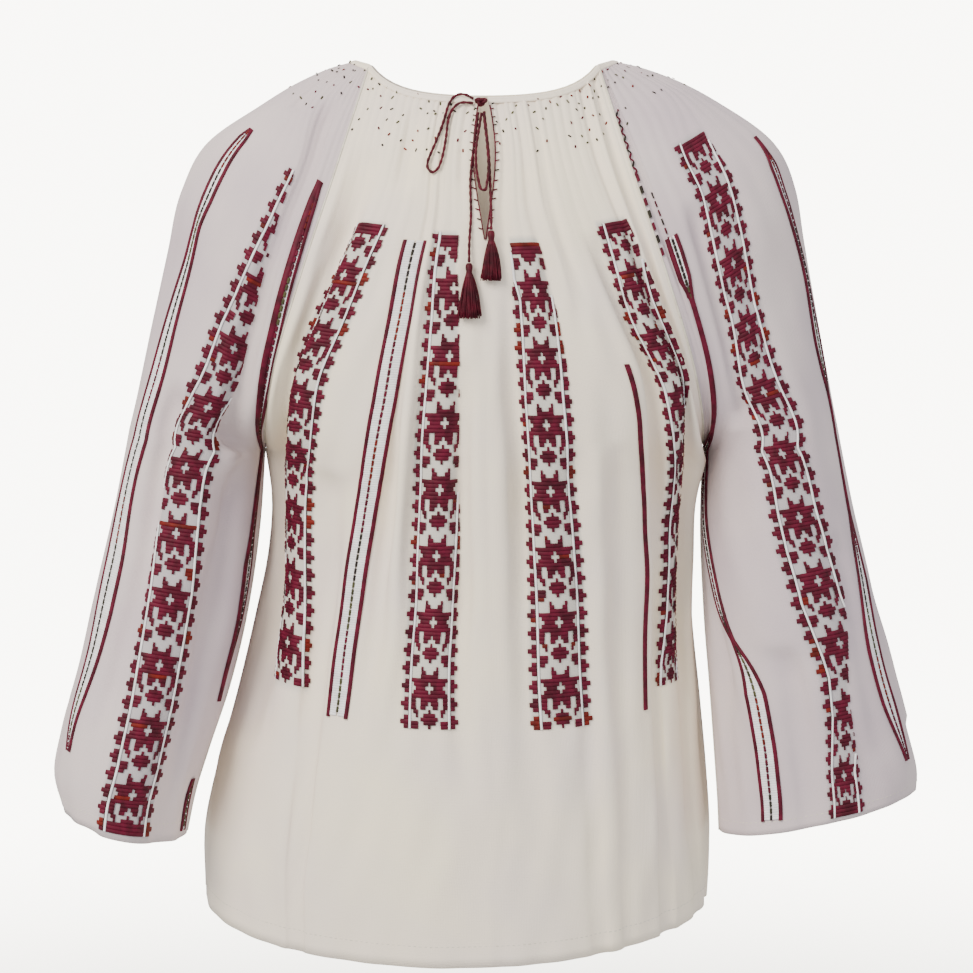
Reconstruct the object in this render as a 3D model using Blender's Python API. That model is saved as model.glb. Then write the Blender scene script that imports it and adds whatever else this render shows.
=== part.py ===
"""A gathered folk blouse, worn form with no wearer: front and back panels, two sleeves that run
up to the neck, a neck binding, and a drawstring with two tassels.

The sizes below are millimetres, and the meshes are made in metres. +Z is up, the front faces -Y,
and the origin lies midway between the two points of the neck edge that rest on the shoulders.
"Low" is the -X side, the wearer's right, and "high" is the +X side.

Each panel is a rectangle of cloth laid across the form row by row. A row first has a smooth line
around the wearer. The cloth is longer than that line, so the spare length goes into folds between
the ridges, which touch the line.
"""

import math

import bmesh
import bpy
import numpy as np

MM = 0.001


def table(names, *rows):
    """A small table with named columns. Its first column says where each row stands."""
    return dict(zip(names.split(), np.array(rows, float).T))


def read(rows, name, place):
    """One column of a table, at any place between its rows, on a smooth curve."""
    knots = next(iter(rows.values()))
    values = rows[name]
    slopes = np.gradient(values, knots)
    place = float(np.clip(place, knots[0], knots[-1]))
    i = int(np.clip(np.searchsorted(knots, place, side="right") - 1, 0, len(knots) - 2))
    span = knots[i + 1] - knots[i]
    t = (place - knots[i]) / span
    start = (2 * t**3 - 3 * t**2 + 1) * values[i] + (t**3 - 2 * t**2 + t) * span * slopes[i]
    end = (3 * t**2 - 2 * t**3) * values[i + 1] + (t**3 - t**2) * span * slopes[i + 1]
    return float(start + end)


# Cloth and seams
CLOTH = 1.2
SEAM_GAP = 0.4
ARMPIT_ROOM = 2.0
PANEL_CUT = 560.0
SLEEVE_CUT = 460.0
SLEEVE_GIRTH = 410.0

# Levels of the body, as drops below the shoulder line, measured at the centre front
NECK_DROP = 26.0
BINDING_DROP = 30.2
CLOTH_TOP_DROP = 30.8
SLIT_END_DROP = 123.0
ARMPIT_DROP = 290.0
HEM_DROP = 626.0
BACK_NECK_DROP = 24.0
BACK_HEM_DROP = 612.0
ARMPIT_Z = -276.0
SIDE_HEM_Z = -600.0
YOKE_DROPS = (CLOTH_TOP_DROP, 42.0, 60.0, 85.0, SLIT_END_DROP, 165.0, 210.0, 248.0, 273.0, ARMPIT_DROP)
SKIRT_DROPS = (340.0, 400.0, 470.0, 545.0, HEM_DROP)
ARM_SHARES = (0.12, 0.25, 0.38, 0.52, 0.66, 0.80, 0.91, 1.0)

# The four seams that run from the neck to the armpits. Depth and span are the half depth and half
# angle of the arch that a sleeve row makes from seam to seam. Panel is the half angle that the
# front or back row spans between its two seams.
YOKE = table(
    "share seam_x seam_z depth span panel",
    (0.00, 80, -3, 45.0, 42, 61.5), (0.25, 103, -78, 76.0, 72, 60), (0.50, 126, -148, 88.0, 86, 62),
    (0.75, 146, -214, 81.5, 106, 70), (0.90, 154, -253, 77.0, 140, 80), (1.00, 157, ARMPIT_Z, 78.0, 180, 90),
)

# The top line of each sleeve from the neck over the shoulder to the level of the armpit
SHOULDER = table(
    "share low_x low_z high_x high_z",
    (0.000, 90, 0, 90, 0), (0.0625, 111, -6, 112, -5), (0.125, 133, -16, 137, -14), (0.223, 161, -33, 169, -31),
    (0.375, 200, -62, 207, -60), (0.50, 216, -92, 220, -90), (0.65, 225, -134, 229, -132), (0.80, 237, -188, 239, -187),
    (0.92, 248, -238, 249, -237), (1.00, 254, -262, 254, -262),
)

# Profiles of the centre front and centre back
FRONT_PROFILE = table(
    "drop y",
    (26, -62), (60, -84), (100, -101), (150, -113), (200, -119), (260, -121),
    (330, -119), (420, -118), (520, -121), (624, -123),
)
BACK_PROFILE = table(
    "drop y",
    (26, 58), (60, 73), (110, 89), (170, 98), (240, 101), (320, 98), (420, 101), (520, 107), (624, 113),
)

# Side lines below the armpits, and how far round to the high side the panel's middle has turned
SIDES = table(
    "drop low high turn",
    (290, -157.0, 157.0, 1), (325, -152.5, 149.0, 2), (365, -155.0, 148.0, 3), (415, -165.0, 150.0, 4),
    (475, -179.0, 156.0, 6), (535, -195.0, 161.5, 8), (575, -203.0, 164.0, 8), (624, -203.0, 162.5, 8),
)

# The sleeves below the armpit: the outer line, the underarm line and how far forward the arm is
ARM_LOW = table(
    "share outer_x outer_z inner_x inner_z forward",
    (0.00, 254, -262, 157, ARMPIT_Z, 0), (0.16, 263, -310, 160, -326, 10), (0.36, 276, -366, 168, -386, 22),
    (0.58, 289, -424, 181, -442, 32), (0.78, 301, -475, 197, -490, 38), (0.90, 305, -503, 206, -519, 40),
    (1.00, 300, -525, 212, -547, 40),
)
ARM_HIGH = table(
    "share outer_x outer_z inner_x inner_z forward",
    (0.00, 254, -262, 157, ARMPIT_Z, 0), (0.16, 263, -313, 155, -328, 10), (0.36, 276, -368, 157, -389, 22),
    (0.58, 291, -422, 161, -443, 31), (0.78, 304, -472, 165, -497, 36), (0.90, 309, -499, 167, -526, 38),
    (1.00, 308, -515, 168, -547, 38),
)

# Ridges are distances across the cut cloth from its middle. Places say, for each level, where on
# the smooth line each ridge lies, as a share of the way from the middle to the edge.
FRONT_LOW_RIDGES = (0, 56, 118, 195, 280)
FRONT_LOW_FOLDS = (1, 2, 2, 2)
FRONT_LOW_PLACES = table(
    "drop first second third",
    (26, 0.200, 0.421, 0.696), (125, 0.240, 0.405, 0.680), (240, 0.255, 0.430, 0.840),
    (380, 0.218, 0.449, 0.667), (460, 0.225, 0.479, 0.646), (624, 0.233, 0.457, 0.736),
)
FRONT_HIGH_RIDGES = (0, 50, 118, 195, 280)
FRONT_HIGH_FOLDS = (1, 2, 2, 2)
FRONT_HIGH_PLACES = table(
    "drop first second third",
    (26, 0.179, 0.421, 0.696), (125, 0.207, 0.453, 0.734), (240, 0.240, 0.600, 0.880),
    (380, 0.198, 0.486, 0.632), (460, 0.214, 0.477, 0.587), (624, 0.214, 0.479, 0.684),
)
BACK_RIDGES = (0, 66, 135, 210, 280)
BACK_FOLDS = (2, 2, 2, 2)
BACK_PLACES = table(
    "drop first second third",
    (26, 0.236, 0.482, 0.750), (160, 0.265, 0.500, 0.780), (300, 0.215, 0.510, 0.725), (624, 0.250, 0.460, 0.765),
)
SLEEVE_RIDGES = (-230, -155, -78, 0, 78, 155, 230)
SLEEVE_FOLDS = (2, 2, 2, 2, 2, 2)
SLEEVE_PLACES = table(
    "share one two three four five",
    (0.0, -0.80, -0.47, -0.12, 0.25, 0.62), (0.5, -0.83, -0.50, -0.10, 0.24, 0.64),
    (1.0, -0.78, -0.44, -0.13, 0.27, 0.60), (1.5, -0.82, -0.47, -0.11, 0.23, 0.63),
    (2.0, -0.79, -0.45, -0.08, 0.26, 0.61),
)
# A fold never squeezes its cloth below this share of its width, so that its wall can't meet itself
TIGHTEST_FOLD = 0.72
TIGHTEST_SLEEVE_FOLD = 0.84
# Cloth that lies nearly flat on each side of a ridge, the cloth that a steep fold needs, and how
# far folds wander on their way down
RIDGE_FLAT = 15.0
FOLD_ROOM = 18.0
WANDER = 0.06
WANDER_LENGTH = 430.0

# Fine gathers at the neck: how many each piece has, and how deep they are at each level
FRONT_GATHERS = 36
BACK_GATHERS = 32
SLEEVE_GATHERS = 16
GATHER = table("drop depth", (26, 1.6), (60, 1.5), (90, 0.9), (125, 0.35), (160, 0.0), (624, 0.0))
# The share of the cut cloth's width that is left once the fine gathers have taken theirs
TAKE_UP = table(
    "drop panel sleeve",
    (26, 0.33, 0.14), (42, 0.36, 0.23), (60, 0.39, 0.34), (85, 0.43, 0.49), (123, 0.51, 0.62), (160, 0.60, 0.68),
    (200, 0.70, 0.68), (245, 0.82, 0.68), (273, 0.92, 0.80), (290, 1.0, 0.91), (340, 1.0, 0.95), (450, 1.0, 1.0),
    (626, 1.0, 1.0),
)

# Half the slit's opening at the centre front
SLIT = table("drop half", (26, 2.5), (42, 5.2), (60, 7.0), (85, 5.8), (105, 2.8), (123, 0.0))

# Neck binding
BINDING_PROUD = 0.6
BINDING_DEPTH = 2.2

# Drawstring: its thickness, its knot, and its stretches as places on the cloth in x and z
CORD = 2.0
KNOT_PLACE = (-2.0, -29.5)
KNOT_SIZE = (9.0, 6.0, 7.0)
LIFT = 0.4
END_LIFT = 2.4
END_GAP = 0.5
LONG_END = ((-4.0, -37.0), (-5.2, -47.0), (-7.2, -62.0), (-9.2, -83.0), (-8.8, -106.0), (-9.9, -125.0), (-10.0, -138.0))
SHORT_END = ((0.2, -36.5), (1.4, -47.0), (3.4, -66.0), (4.4, -88.0), (5.0, -105.0), (5.0, -116.0))
WIDE_LOOP = (
    (-7.4, -27.5), (-13.5, -24.4), (-20.0, -25.6), (-24.4, -32.0), (-28.6, -45.5), (-33.6, -58.5), (-38.0, -69.0),
    (-38.6, -74.0), (-35.8, -77.4), (-31.6, -75.2), (-28.4, -67.0), (-26.0, -54.0), (-24.8, -44.0), (-22.2, -35.6),
    (-17.0, -30.6), (-11.6, -30.0), (-7.4, -30.6),
)
NARROW_LOOP = (
    (-1.6, -37.4), (-3.4, -48.0), (-5.4, -62.0), (-5.0, -76.0), (-2.6, -87.0), (-0.4, -90.4),
    (1.6, -87.4), (3.2, -75.0), (2.4, -60.0), (0.8, -46.0), (-0.2, -37.4),
)
# Tassels: neck radius, length of the head, length of the skirt, half width and half depth at its end
TASSEL_NECK = 2.2
TASSEL_HEAD = 8.0
LONG_TASSEL = (29.5, 9.0, 5.0)
SHORT_TASSEL = (26.0, 8.0, 4.6)
TASSEL_GRID = 6

WHITE_COTTON = (0.80, 0.78, 0.72)
RED_THREAD = (0.19, 0.008, 0.022)


# Folds

STEEPNESS = np.linspace(0, 0.97, 50)[:, None]


def fold_cloth(columns, ridges, places, folds, tightest, down, flat):
    """Where each column of a row lies along the row's line, and how far inside the line it lies."""
    along = np.zeros(len(columns))
    depth = np.zeros(len(columns))
    t = np.linspace(0, 1, 161)
    for k, count in enumerate(folds):
        cloth, line = ridges[k + 1] - ridges[k], places[k + 1] - places[k]
        ratio = float(np.clip(line / cloth, tightest, 1))
        wander = WANDER * math.sin(2 * math.pi * down / WANDER_LENGTH + 2.1 * k)
        turns = (t + wander * np.sin(math.pi * t)) * count
        beside_ridge = np.clip(np.minimum(t, 1 - t) * cloth / flat, 0, 1)
        wave = np.tanh(1.2 * np.sin(2 * math.pi * turns)) / math.tanh(1.2) * beside_ridge**1.5
        ratios = np.sqrt(1 - (STEEPNESS * wave) ** 2).mean(axis=1)
        gentlest = (cloth - 2 * flat) / count / FOLD_ROOM
        slope = min(float(np.interp(-ratio, -ratios, STEEPNESS[:, 0])), max(gentlest, 0.2)) * wave
        forward = np.sqrt(1 - slope**2)
        progress = np.concatenate([[0], np.cumsum((forward[1:] + forward[:-1]) / 2)])
        inward = np.concatenate([[0], np.cumsum((slope[1:] + slope[:-1]) / 2)])
        here = (columns >= ridges[k]) & (columns <= ridges[k + 1])
        at = (columns[here] - ridges[k]) / cloth
        along[here] = places[k] + line * np.interp(at, t, progress / progress[-1])
        depth[here] = line / progress[-1] * np.interp(at, t, inward - inward[-1] * t)
    return along, depth


def lengths(line):
    """Distance along a line of points to each of its points."""
    return np.concatenate([[0], np.cumsum(np.linalg.norm(np.diff(line, axis=0), axis=1))])


def at_lengths(line, places):
    """Points on a line at the given distances along it."""
    far = lengths(line)
    return np.stack([np.interp(places, far, line[:, k]) for k in range(3)], axis=-1)


# The form that the cloth follows

def yoke_share(drop):
    return (drop - NECK_DROP) / (ARMPIT_DROP - NECK_DROP)


def panel_line(drop, front):
    """A level of the front or back, from its low edge to its high edge, and the middle's place on it."""
    share = yoke_share(drop)
    if share < 1:
        high = read(YOKE, "seam_x", share)
        low, turn = -high, read(YOKE, "share", share)
        edge_y = read(YOKE, "depth", share) * math.sin(math.radians(read(YOKE, "span", share)))
        edge_z = read(YOKE, "seam_z", share)
        half_span = math.radians(read(YOKE, "panel", share))
    else:
        low, high, turn = (read(SIDES, name, drop) for name in ("low", "high", "turn"))
        edge_y = 0.0
        edge_z = ARMPIT_Z + (SIDE_HEM_Z - ARMPIT_Z) * (drop - ARMPIT_DROP) / (HEM_DROP - ARMPIT_DROP)
        half_span = math.pi / 2
    low, high = low + SEAM_GAP / 2, high - SEAM_GAP / 2
    if front:
        middle_y, middle_z, edge_y = read(FRONT_PROFILE, "y", drop), -drop, -edge_y
    else:
        down = (drop - NECK_DROP) / (HEM_DROP - NECK_DROP)
        middle_y = read(BACK_PROFILE, "y", drop)
        middle_z = -BACK_NECK_DROP - (BACK_HEM_DROP - BACK_NECK_DROP) * down
        turn = -turn
    angle = np.linspace(-half_span, half_span, 181)
    rise = (np.cos(angle) - math.cos(half_span)) / (1 - math.cos(half_span))
    bulge = 0.6 * min(1.0, (HEM_DROP - drop) / (HEM_DROP - ARMPIT_DROP))
    line = np.stack([
        (low + high) / 2 + (high - low) / 2 * np.sin(angle) / math.sin(half_span),
        edge_y + (middle_y - edge_y) * rise,
        edge_z + (middle_z - edge_z) * ((1 + bulge) * rise - bulge * rise**2),
    ], axis=-1)
    return line, float(np.interp(math.radians(turn), angle, lengths(line)))


def sleeve_line(level, side):
    """A row of a sleeve from its front seam over the top to its back seam, and the top's place on it.
    Levels 0 to 1 run from the neck to the armpit, and 1 to 2 from the armpit to the cuff."""
    if level < 1:
        edge = "high" if side > 0 else "low"
        top = np.array([read(SHOULDER, edge + "_x", level), 0, read(SHOULDER, edge + "_z", level)])
        under = np.array([read(YOKE, "seam_x", level), 0, read(YOKE, "seam_z", level)])
        span, depth = math.radians(read(YOKE, "span", level)), read(YOKE, "depth", level)
    else:
        arm = ARM_HIGH if side > 0 else ARM_LOW
        outer_x, outer_z, inner_x, inner_z, forward = (
            read(arm, name, level - 1) for name in ("outer_x", "outer_z", "inner_x", "inner_z", "forward")
        )
        top, under = np.array([outer_x, -forward, outer_z]), np.array([inner_x, -forward, inner_z])
        span = math.pi
        depth = math.sqrt(2 * (SLEEVE_GIRTH / 2 / math.pi) ** 2 - (np.linalg.norm(top - under) / 2) ** 2)
    out = (top - under) / np.linalg.norm(top - under)
    radius = np.linalg.norm(top - under) / (1 - math.cos(span))
    angle = np.linspace(-span, span, 241)[:, None]
    line = top - radius * out + radius * np.cos(angle) * out + depth * np.sin(angle) * np.array([0, 1, 0])
    beside_seam = np.clip((1 - np.abs(angle[:, 0]) / span) / 0.3, 0, 1)
    away = ARMPIT_ROOM * float(np.clip((level - 0.8) / 0.15, 0, 1)) * float(np.clip((1.4 - level) / 0.3, 0, 1))
    line[:, 0] = side * (line[:, 0] + SEAM_GAP / 2 + away * np.sin(math.pi * beside_seam) ** 2)
    return line, float(lengths(line)[120])


def spread_places(far, middle, shares):
    """Places along a line for shares from -1 at its start, over 0 at the middle, to 1 at its far end."""
    margin = SEAM_GAP / 2
    return np.array([middle + s * ((middle if s < 0 else far - middle) - margin) for s in shares])


def front_row(drop, columns, side):
    """One level of the low or high half of the front, as points on the form and depths inside it."""
    line, middle = panel_line(drop, True)
    opening = max(read(SLIT, "half", drop), 0) if drop < SLIT_END_DROP else 0.0
    take_up = read(TAKE_UP, "panel", drop)
    ridges, folds, rows = (
        (FRONT_LOW_RIDGES, FRONT_LOW_FOLDS, FRONT_LOW_PLACES) if side < 0
        else (FRONT_HIGH_RIDGES, FRONT_HIGH_FOLDS, FRONT_HIGH_PLACES)
    )
    shares = np.array([0.0] + [read(rows, name, drop) for name in ("first", "second", "third")] + [1.0])
    half = middle if side < 0 else lengths(line)[-1] - middle
    places = opening + shares * (half - opening - SEAM_GAP / 2)
    cloth, ridges = np.abs(columns) * take_up, np.array(ridges) * take_up
    along, depth = fold_cloth(cloth, ridges, places, folds, TIGHTEST_FOLD, drop, RIDGE_FLAT * take_up)
    return at_lengths(line, middle + side * along), depth


def back_row(drop, columns):
    """One level of the back, from its low edge to its high edge."""
    line, middle = panel_line(drop, False)
    take_up = read(TAKE_UP, "panel", drop)
    outward = [read(BACK_PLACES, name, drop) for name in ("first", "second", "third")]
    shares = [-1, *(-s for s in reversed(outward)), 0, *outward, 1]
    ridges = np.array([*(-r for r in reversed(BACK_RIDGES[1:])), *BACK_RIDGES]) * take_up
    places = spread_places(lengths(line)[-1], middle, shares)
    folds = (*reversed(BACK_FOLDS), *BACK_FOLDS)
    cloth = columns * take_up
    along, depth = fold_cloth(cloth, ridges, places, folds, TIGHTEST_FOLD, drop, RIDGE_FLAT * take_up)
    return at_lengths(line, along), depth


def sleeve_row(level, columns, side):
    """One row of a sleeve, from its front seam to its back seam."""
    line, middle = sleeve_line(level, side)
    down = NECK_DROP + level * (ARMPIT_DROP - NECK_DROP)
    take_up = read(TAKE_UP, "sleeve", down)
    shares = [-1, *(read(SLEEVE_PLACES, name, level) for name in ("one", "two", "three", "four", "five")), 1]
    places = spread_places(lengths(line)[-1], middle, shares)
    ridges = np.array(SLEEVE_RIDGES) * take_up
    cloth, flat = columns * take_up, RIDGE_FLAT * take_up
    along, depth = fold_cloth(cloth, ridges, places, SLEEVE_FOLDS, TIGHTEST_SLEEVE_FOLD, down, flat)
    return at_lengths(line, along), depth


# Walls

def grid_normals(points, outward):
    """Unit normals of a grid of points, each row running across the cloth and each column down it."""
    normals = np.cross(np.gradient(points, axis=0), np.gradient(points, axis=1)) * outward
    return normals / np.maximum(np.linalg.norm(normals, axis=-1, keepdims=True), 1e-9)


def lay_cloth(rows, outward, drops):
    """A piece of cloth: its outer points, the outward direction at each, and its gathers' depths."""
    form, depth = np.array([r[0] for r in rows]), np.array([r[1] for r in rows])
    on_form = grid_normals(form, outward)
    points = form - depth[..., None] * on_form
    normals = grid_normals(points, outward)
    normals[:, 0], normals[:, -1] = on_form[:, 0], on_form[:, -1]
    inside = np.full(points.shape[1], 1.0)
    inside[[0, -1]] = 0.25
    deepest = np.array([max(read(GATHER, "depth", drop), 0.0) for drop in drops])[:, None] * inside
    return {"points": points, "normals": normals, "deepest": deepest[..., None]}


def join(one, one_at, other, other_at):
    """Gives two edges that meet at a seam one inward direction, unless they meet in a valley."""
    a, b = one["normals"][one_at], other["normals"][other_at]
    mean = a + b
    size = np.linalg.norm(mean, axis=-1, keepdims=True)
    level = size > 1.3
    mean = mean / np.maximum(size, 1e-9)
    one["normals"][one_at] = np.where(level, mean, a)
    other["normals"][other_at] = np.where(level, mean, b)


def wall_points(cloth):
    """Both faces of a piece of cloth: the gathered outer points and the plain inner ones."""
    trough = np.arange(cloth["points"].shape[1])[:, None] % 2
    outer = cloth["points"] - cloth["deepest"] * trough * cloth["normals"]
    inner = cloth["points"] - (cloth["deepest"] + CLOTH) * cloth["normals"]
    return outer.reshape(-1, 3), inner.reshape(-1, 3)


def material(name, colour, roughness):
    made = bpy.data.materials.new(name)
    made.use_nodes = True
    shader = made.node_tree.nodes["Principled BSDF"]
    shader.inputs["Base Color"].default_value = (*colour, 1)
    shader.inputs["Roughness"].default_value = roughness
    shader.inputs["Metallic"].default_value = 0.0
    return made


def add_object(name, points, faces, colour, roughness):
    """A closed solid from points in millimetres, with its faces turned outward."""
    mesh = bpy.data.meshes.new(name)
    mesh.from_pydata([tuple(p) for p in np.asarray(points, float) * MM], [], [tuple(map(int, f)) for f in faces])
    work = bmesh.new()
    work.from_mesh(mesh)
    bmesh.ops.recalc_face_normals(work, faces=work.faces)
    work.to_mesh(mesh)
    work.free()
    mesh.shade_smooth()
    mesh.set_sharp_from_angle(angle=math.radians(40))
    made = bpy.data.objects.new(name, mesh)
    made.data.materials.append(material(name, colour, roughness))
    bpy.context.scene.collection.objects.link(made)
    return made


def add_wall(name, outer, inner, faces, colour, roughness=0.85):
    """A wall between two like sets of points: both faces, and a rim along every open edge."""
    used = sorted({i for face in faces for i in face})
    number = {old: new for new, old in enumerate(used)}
    faces = [tuple(number[i] for i in face) for face in faces]
    outer, inner, count = outer[used], inner[used], len(used)
    edges = {(a, b) for face in faces for a, b in zip(face, (*face[1:], face[0]))}
    rim = [(b, a, a + count, b + count) for a, b in sorted(edges) if (b, a) not in edges]
    back = [tuple(i + count for i in reversed(face)) for face in faces]
    return add_object(name, np.concatenate([outer, inner]), [*faces, *back, *rim], colour, roughness)


def grid_faces(ids, points):
    """Triangles over a grid of point numbers, each square cut along its shorter diagonal."""
    faces = []
    for r in range(ids.shape[0] - 1):
        for c in range(ids.shape[1] - 1):
            a, b, d, e = ids[r, c], ids[r + 1, c], ids[r + 1, c + 1], ids[r, c + 1]
            if np.linalg.norm(points[a] - points[d]) < np.linalg.norm(points[b] - points[e]):
                faces += [(a, b, d), (a, d, e)]
            else:
                faces += [(a, b, e), (b, d, e)]
    return faces


def number_grid(cloth, first=0):
    rows, columns = cloth["points"].shape[:2]
    return first + np.arange(rows * columns).reshape(rows, columns)


def add_cloth(name, cloth):
    outer, inner = wall_points(cloth)
    add_wall(name, outer, inner, grid_faces(number_grid(cloth), outer), WHITE_COTTON)


def add_front(low, high):
    """Both halves of the front as one piece, parted only along the slit."""
    outer, inner = (np.concatenate(pair) for pair in zip(wall_points(low), wall_points(high)))
    low_ids = number_grid(low)
    high_ids = number_grid(high, low_ids.size)
    below_slit = YOKE_DROPS.index(SLIT_END_DROP)
    high_ids[below_slit:, 0] = low_ids[below_slit:, 0]
    faces = grid_faces(low_ids[:, ::-1], outer) + grid_faces(high_ids, outer)
    add_wall("front", outer, inner, faces, WHITE_COTTON)


def make_cloth():
    """The two panels and the two sleeves, joined at their seams with a small gap left in each."""
    drops = (*YOKE_DROPS, *SKIRT_DROPS)
    half = np.linspace(0, PANEL_CUT / 2, FRONT_GATHERS + 1)
    low, high = (
        lay_cloth([front_row(drop, side * half, side) for drop in drops], side, drops)
        for side in (-1, 1)
    )
    whole = np.linspace(-PANEL_CUT / 2, PANEL_CUT / 2, 2 * BACK_GATHERS + 1)
    back = lay_cloth([back_row(drop, whole) for drop in drops], -1, drops)
    levels = [*(yoke_share(drop) for drop in YOKE_DROPS), *(1 + share for share in ARM_SHARES)]
    sleeve_drops = [NECK_DROP + level * (ARMPIT_DROP - NECK_DROP) for level in levels]
    around = np.linspace(-SLEEVE_CUT / 2, SLEEVE_CUT / 2, 2 * SLEEVE_GATHERS + 1)
    right, left = (
        lay_cloth([sleeve_row(level, around, side) for level in levels], side, sleeve_drops)
        for side in (-1, 1)
    )
    armpit = len(YOKE_DROPS) - 1
    yoke, skirt = slice(0, armpit), slice(armpit, None)
    below_slit = slice(YOKE_DROPS.index(SLIT_END_DROP), None)
    join(low, (below_slit, 0), high, (below_slit, 0))
    for sleeve, front_half, back_edge in ((right, low, 0), (left, high, -1)):
        join(sleeve, (yoke, 0), front_half, (yoke, -1))
        join(sleeve, (yoke, -1), back, (yoke, back_edge))
        join(sleeve, (skirt, 0), sleeve, (skirt, -1))
        join(front_half, (skirt, -1), back, (skirt, back_edge))
    add_front(low, high)
    add_cloth("back", back)
    add_cloth("sleeve_right", right)
    add_cloth("sleeve_left", left)


def neck_loop(drop, share):
    """The whole neck edge at one level, from the slit round the back to the slit again."""
    front, middle = panel_line(drop, True)
    back, _ = panel_line(drop, False)
    opening = read(SLIT, "half", drop)
    sleeve_high, _ = sleeve_line(share, 1)
    sleeve_low, _ = sleeve_line(share, -1)
    far = lengths(front)[-1]
    return np.concatenate([
        at_lengths(front, np.linspace(middle + opening, far, 13)),
        at_lengths(sleeve_high, np.linspace(0, lengths(sleeve_high)[-1], 7))[1:-1],
        at_lengths(back, np.linspace(lengths(back)[-1], 0, 25)),
        at_lengths(sleeve_low, np.linspace(lengths(sleeve_low)[-1], 0, 7))[1:-1],
        at_lengths(front, np.linspace(0, middle - opening, 13)),
    ])


def make_binding():
    """The doubled strip round the neck, a casing for the drawstring, open at the slit."""
    rows = np.array([neck_loop(drop, yoke_share(drop)) for drop in (NECK_DROP, BINDING_DROP)])
    normals = grid_normals(rows, 1)
    outer = (rows + BINDING_PROUD * normals).reshape(-1, 3)
    inner = (rows - (BINDING_DEPTH - BINDING_PROUD) * normals).reshape(-1, 3)
    ids = np.arange(len(outer)).reshape(rows.shape[:2])
    add_wall("neck_binding", outer, inner, grid_faces(ids, outer), WHITE_COTTON)


# Drawstring

def front_samples():
    """Points all over the front of the form, for finding the cloth behind a cord."""
    return np.concatenate([panel_line(drop, True)[0] for drop in np.linspace(NECK_DROP, 220, 160)])


FORM = front_samples()


def on_cloth(x, z, lift):
    """The point at this x and z that lies in front of the cloth by lift."""
    away = (FORM[:, 0] - x) ** 2 + (FORM[:, 2] - z) ** 2
    nearest = np.argsort(away)[:4]
    weight = 1 / (away[nearest] + 0.01)
    return np.array([x, float((FORM[nearest, 1] * weight).sum() / weight.sum()) - lift, z])


def smooth_route(points, spacing):
    """Evenly spaced points on a smooth curve through a route's own points."""
    points = np.array(points, float)
    padded = np.concatenate([[2 * points[0] - points[1]], points, [2 * points[-1] - points[-2]]])
    t = np.linspace(0, 1, 12, endpoint=False)[:, None]
    stretches = [
        0.5 * (2 * b + (c - a) * t + (2 * a - 5 * b + 4 * c - d) * t**2 + (3 * b - a - 3 * c + d) * t**3)
        for a, b, c, d in zip(padded, padded[1:], padded[2:], padded[3:])
    ]
    dense = np.concatenate([*stretches, points[-1:]])
    count = max(int(lengths(dense)[-1] / spacing), 4)
    return at_lengths(dense, np.linspace(0, lengths(dense)[-1], count + 1))


def cord_points(route, lift, end_lift):
    """A route over the cloth that leaves it for end_lift in its last third."""
    rise = np.clip((np.arange(len(route)) / (len(route) - 1) - 0.6) / 0.4, 0, 1)
    lifts = lift + (end_lift - lift) * rise
    return smooth_route([on_cloth(x, z, away) for (x, z), away in zip(route, lifts)], 2.4 * CORD)


def make_cord(name, points):
    """A stretch of cord as a bevelled curve with filled caps."""
    data = bpy.data.curves.new(name, "CURVE")
    data.dimensions = "3D"
    data.bevel_depth = CORD / 2 * MM
    data.bevel_resolution = 2
    data.use_fill_caps = True
    line = data.splines.new("POLY")
    line.points.add(len(points) - 1)
    for point, place in zip(line.points, points * MM):
        point.co = (*place, 1)
    made = bpy.data.objects.new(name, data)
    data.materials.append(material(name, RED_THREAD, 0.6))
    bpy.context.scene.collection.objects.link(made)


def make_knot():
    """The knot that closes the neck, just in front of the binding's two ends."""
    x, z = KNOT_PLACE
    centre = on_cloth(x, z, BINDING_PROUD + END_GAP + KNOT_SIZE[1] / 2)
    work = bmesh.new()
    bmesh.ops.create_uvsphere(work, u_segments=16, v_segments=10, radius=0.5)
    points = [[v.co.x * KNOT_SIZE[0], v.co.y * KNOT_SIZE[1], v.co.z * KNOT_SIZE[2]] for v in work.verts]
    faces = [[v.index for v in face.verts] for face in work.faces]
    work.free()
    add_object("drawstring_knot", np.array(points) + centre, faces, RED_THREAD, 0.6)


def square_to_disc(a, b):
    """Maps a square from -1 to 1 on to a disc of radius 1."""
    return a * math.sqrt(1 - b * b / 2), b * math.sqrt(1 - a * a / 2)


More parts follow.
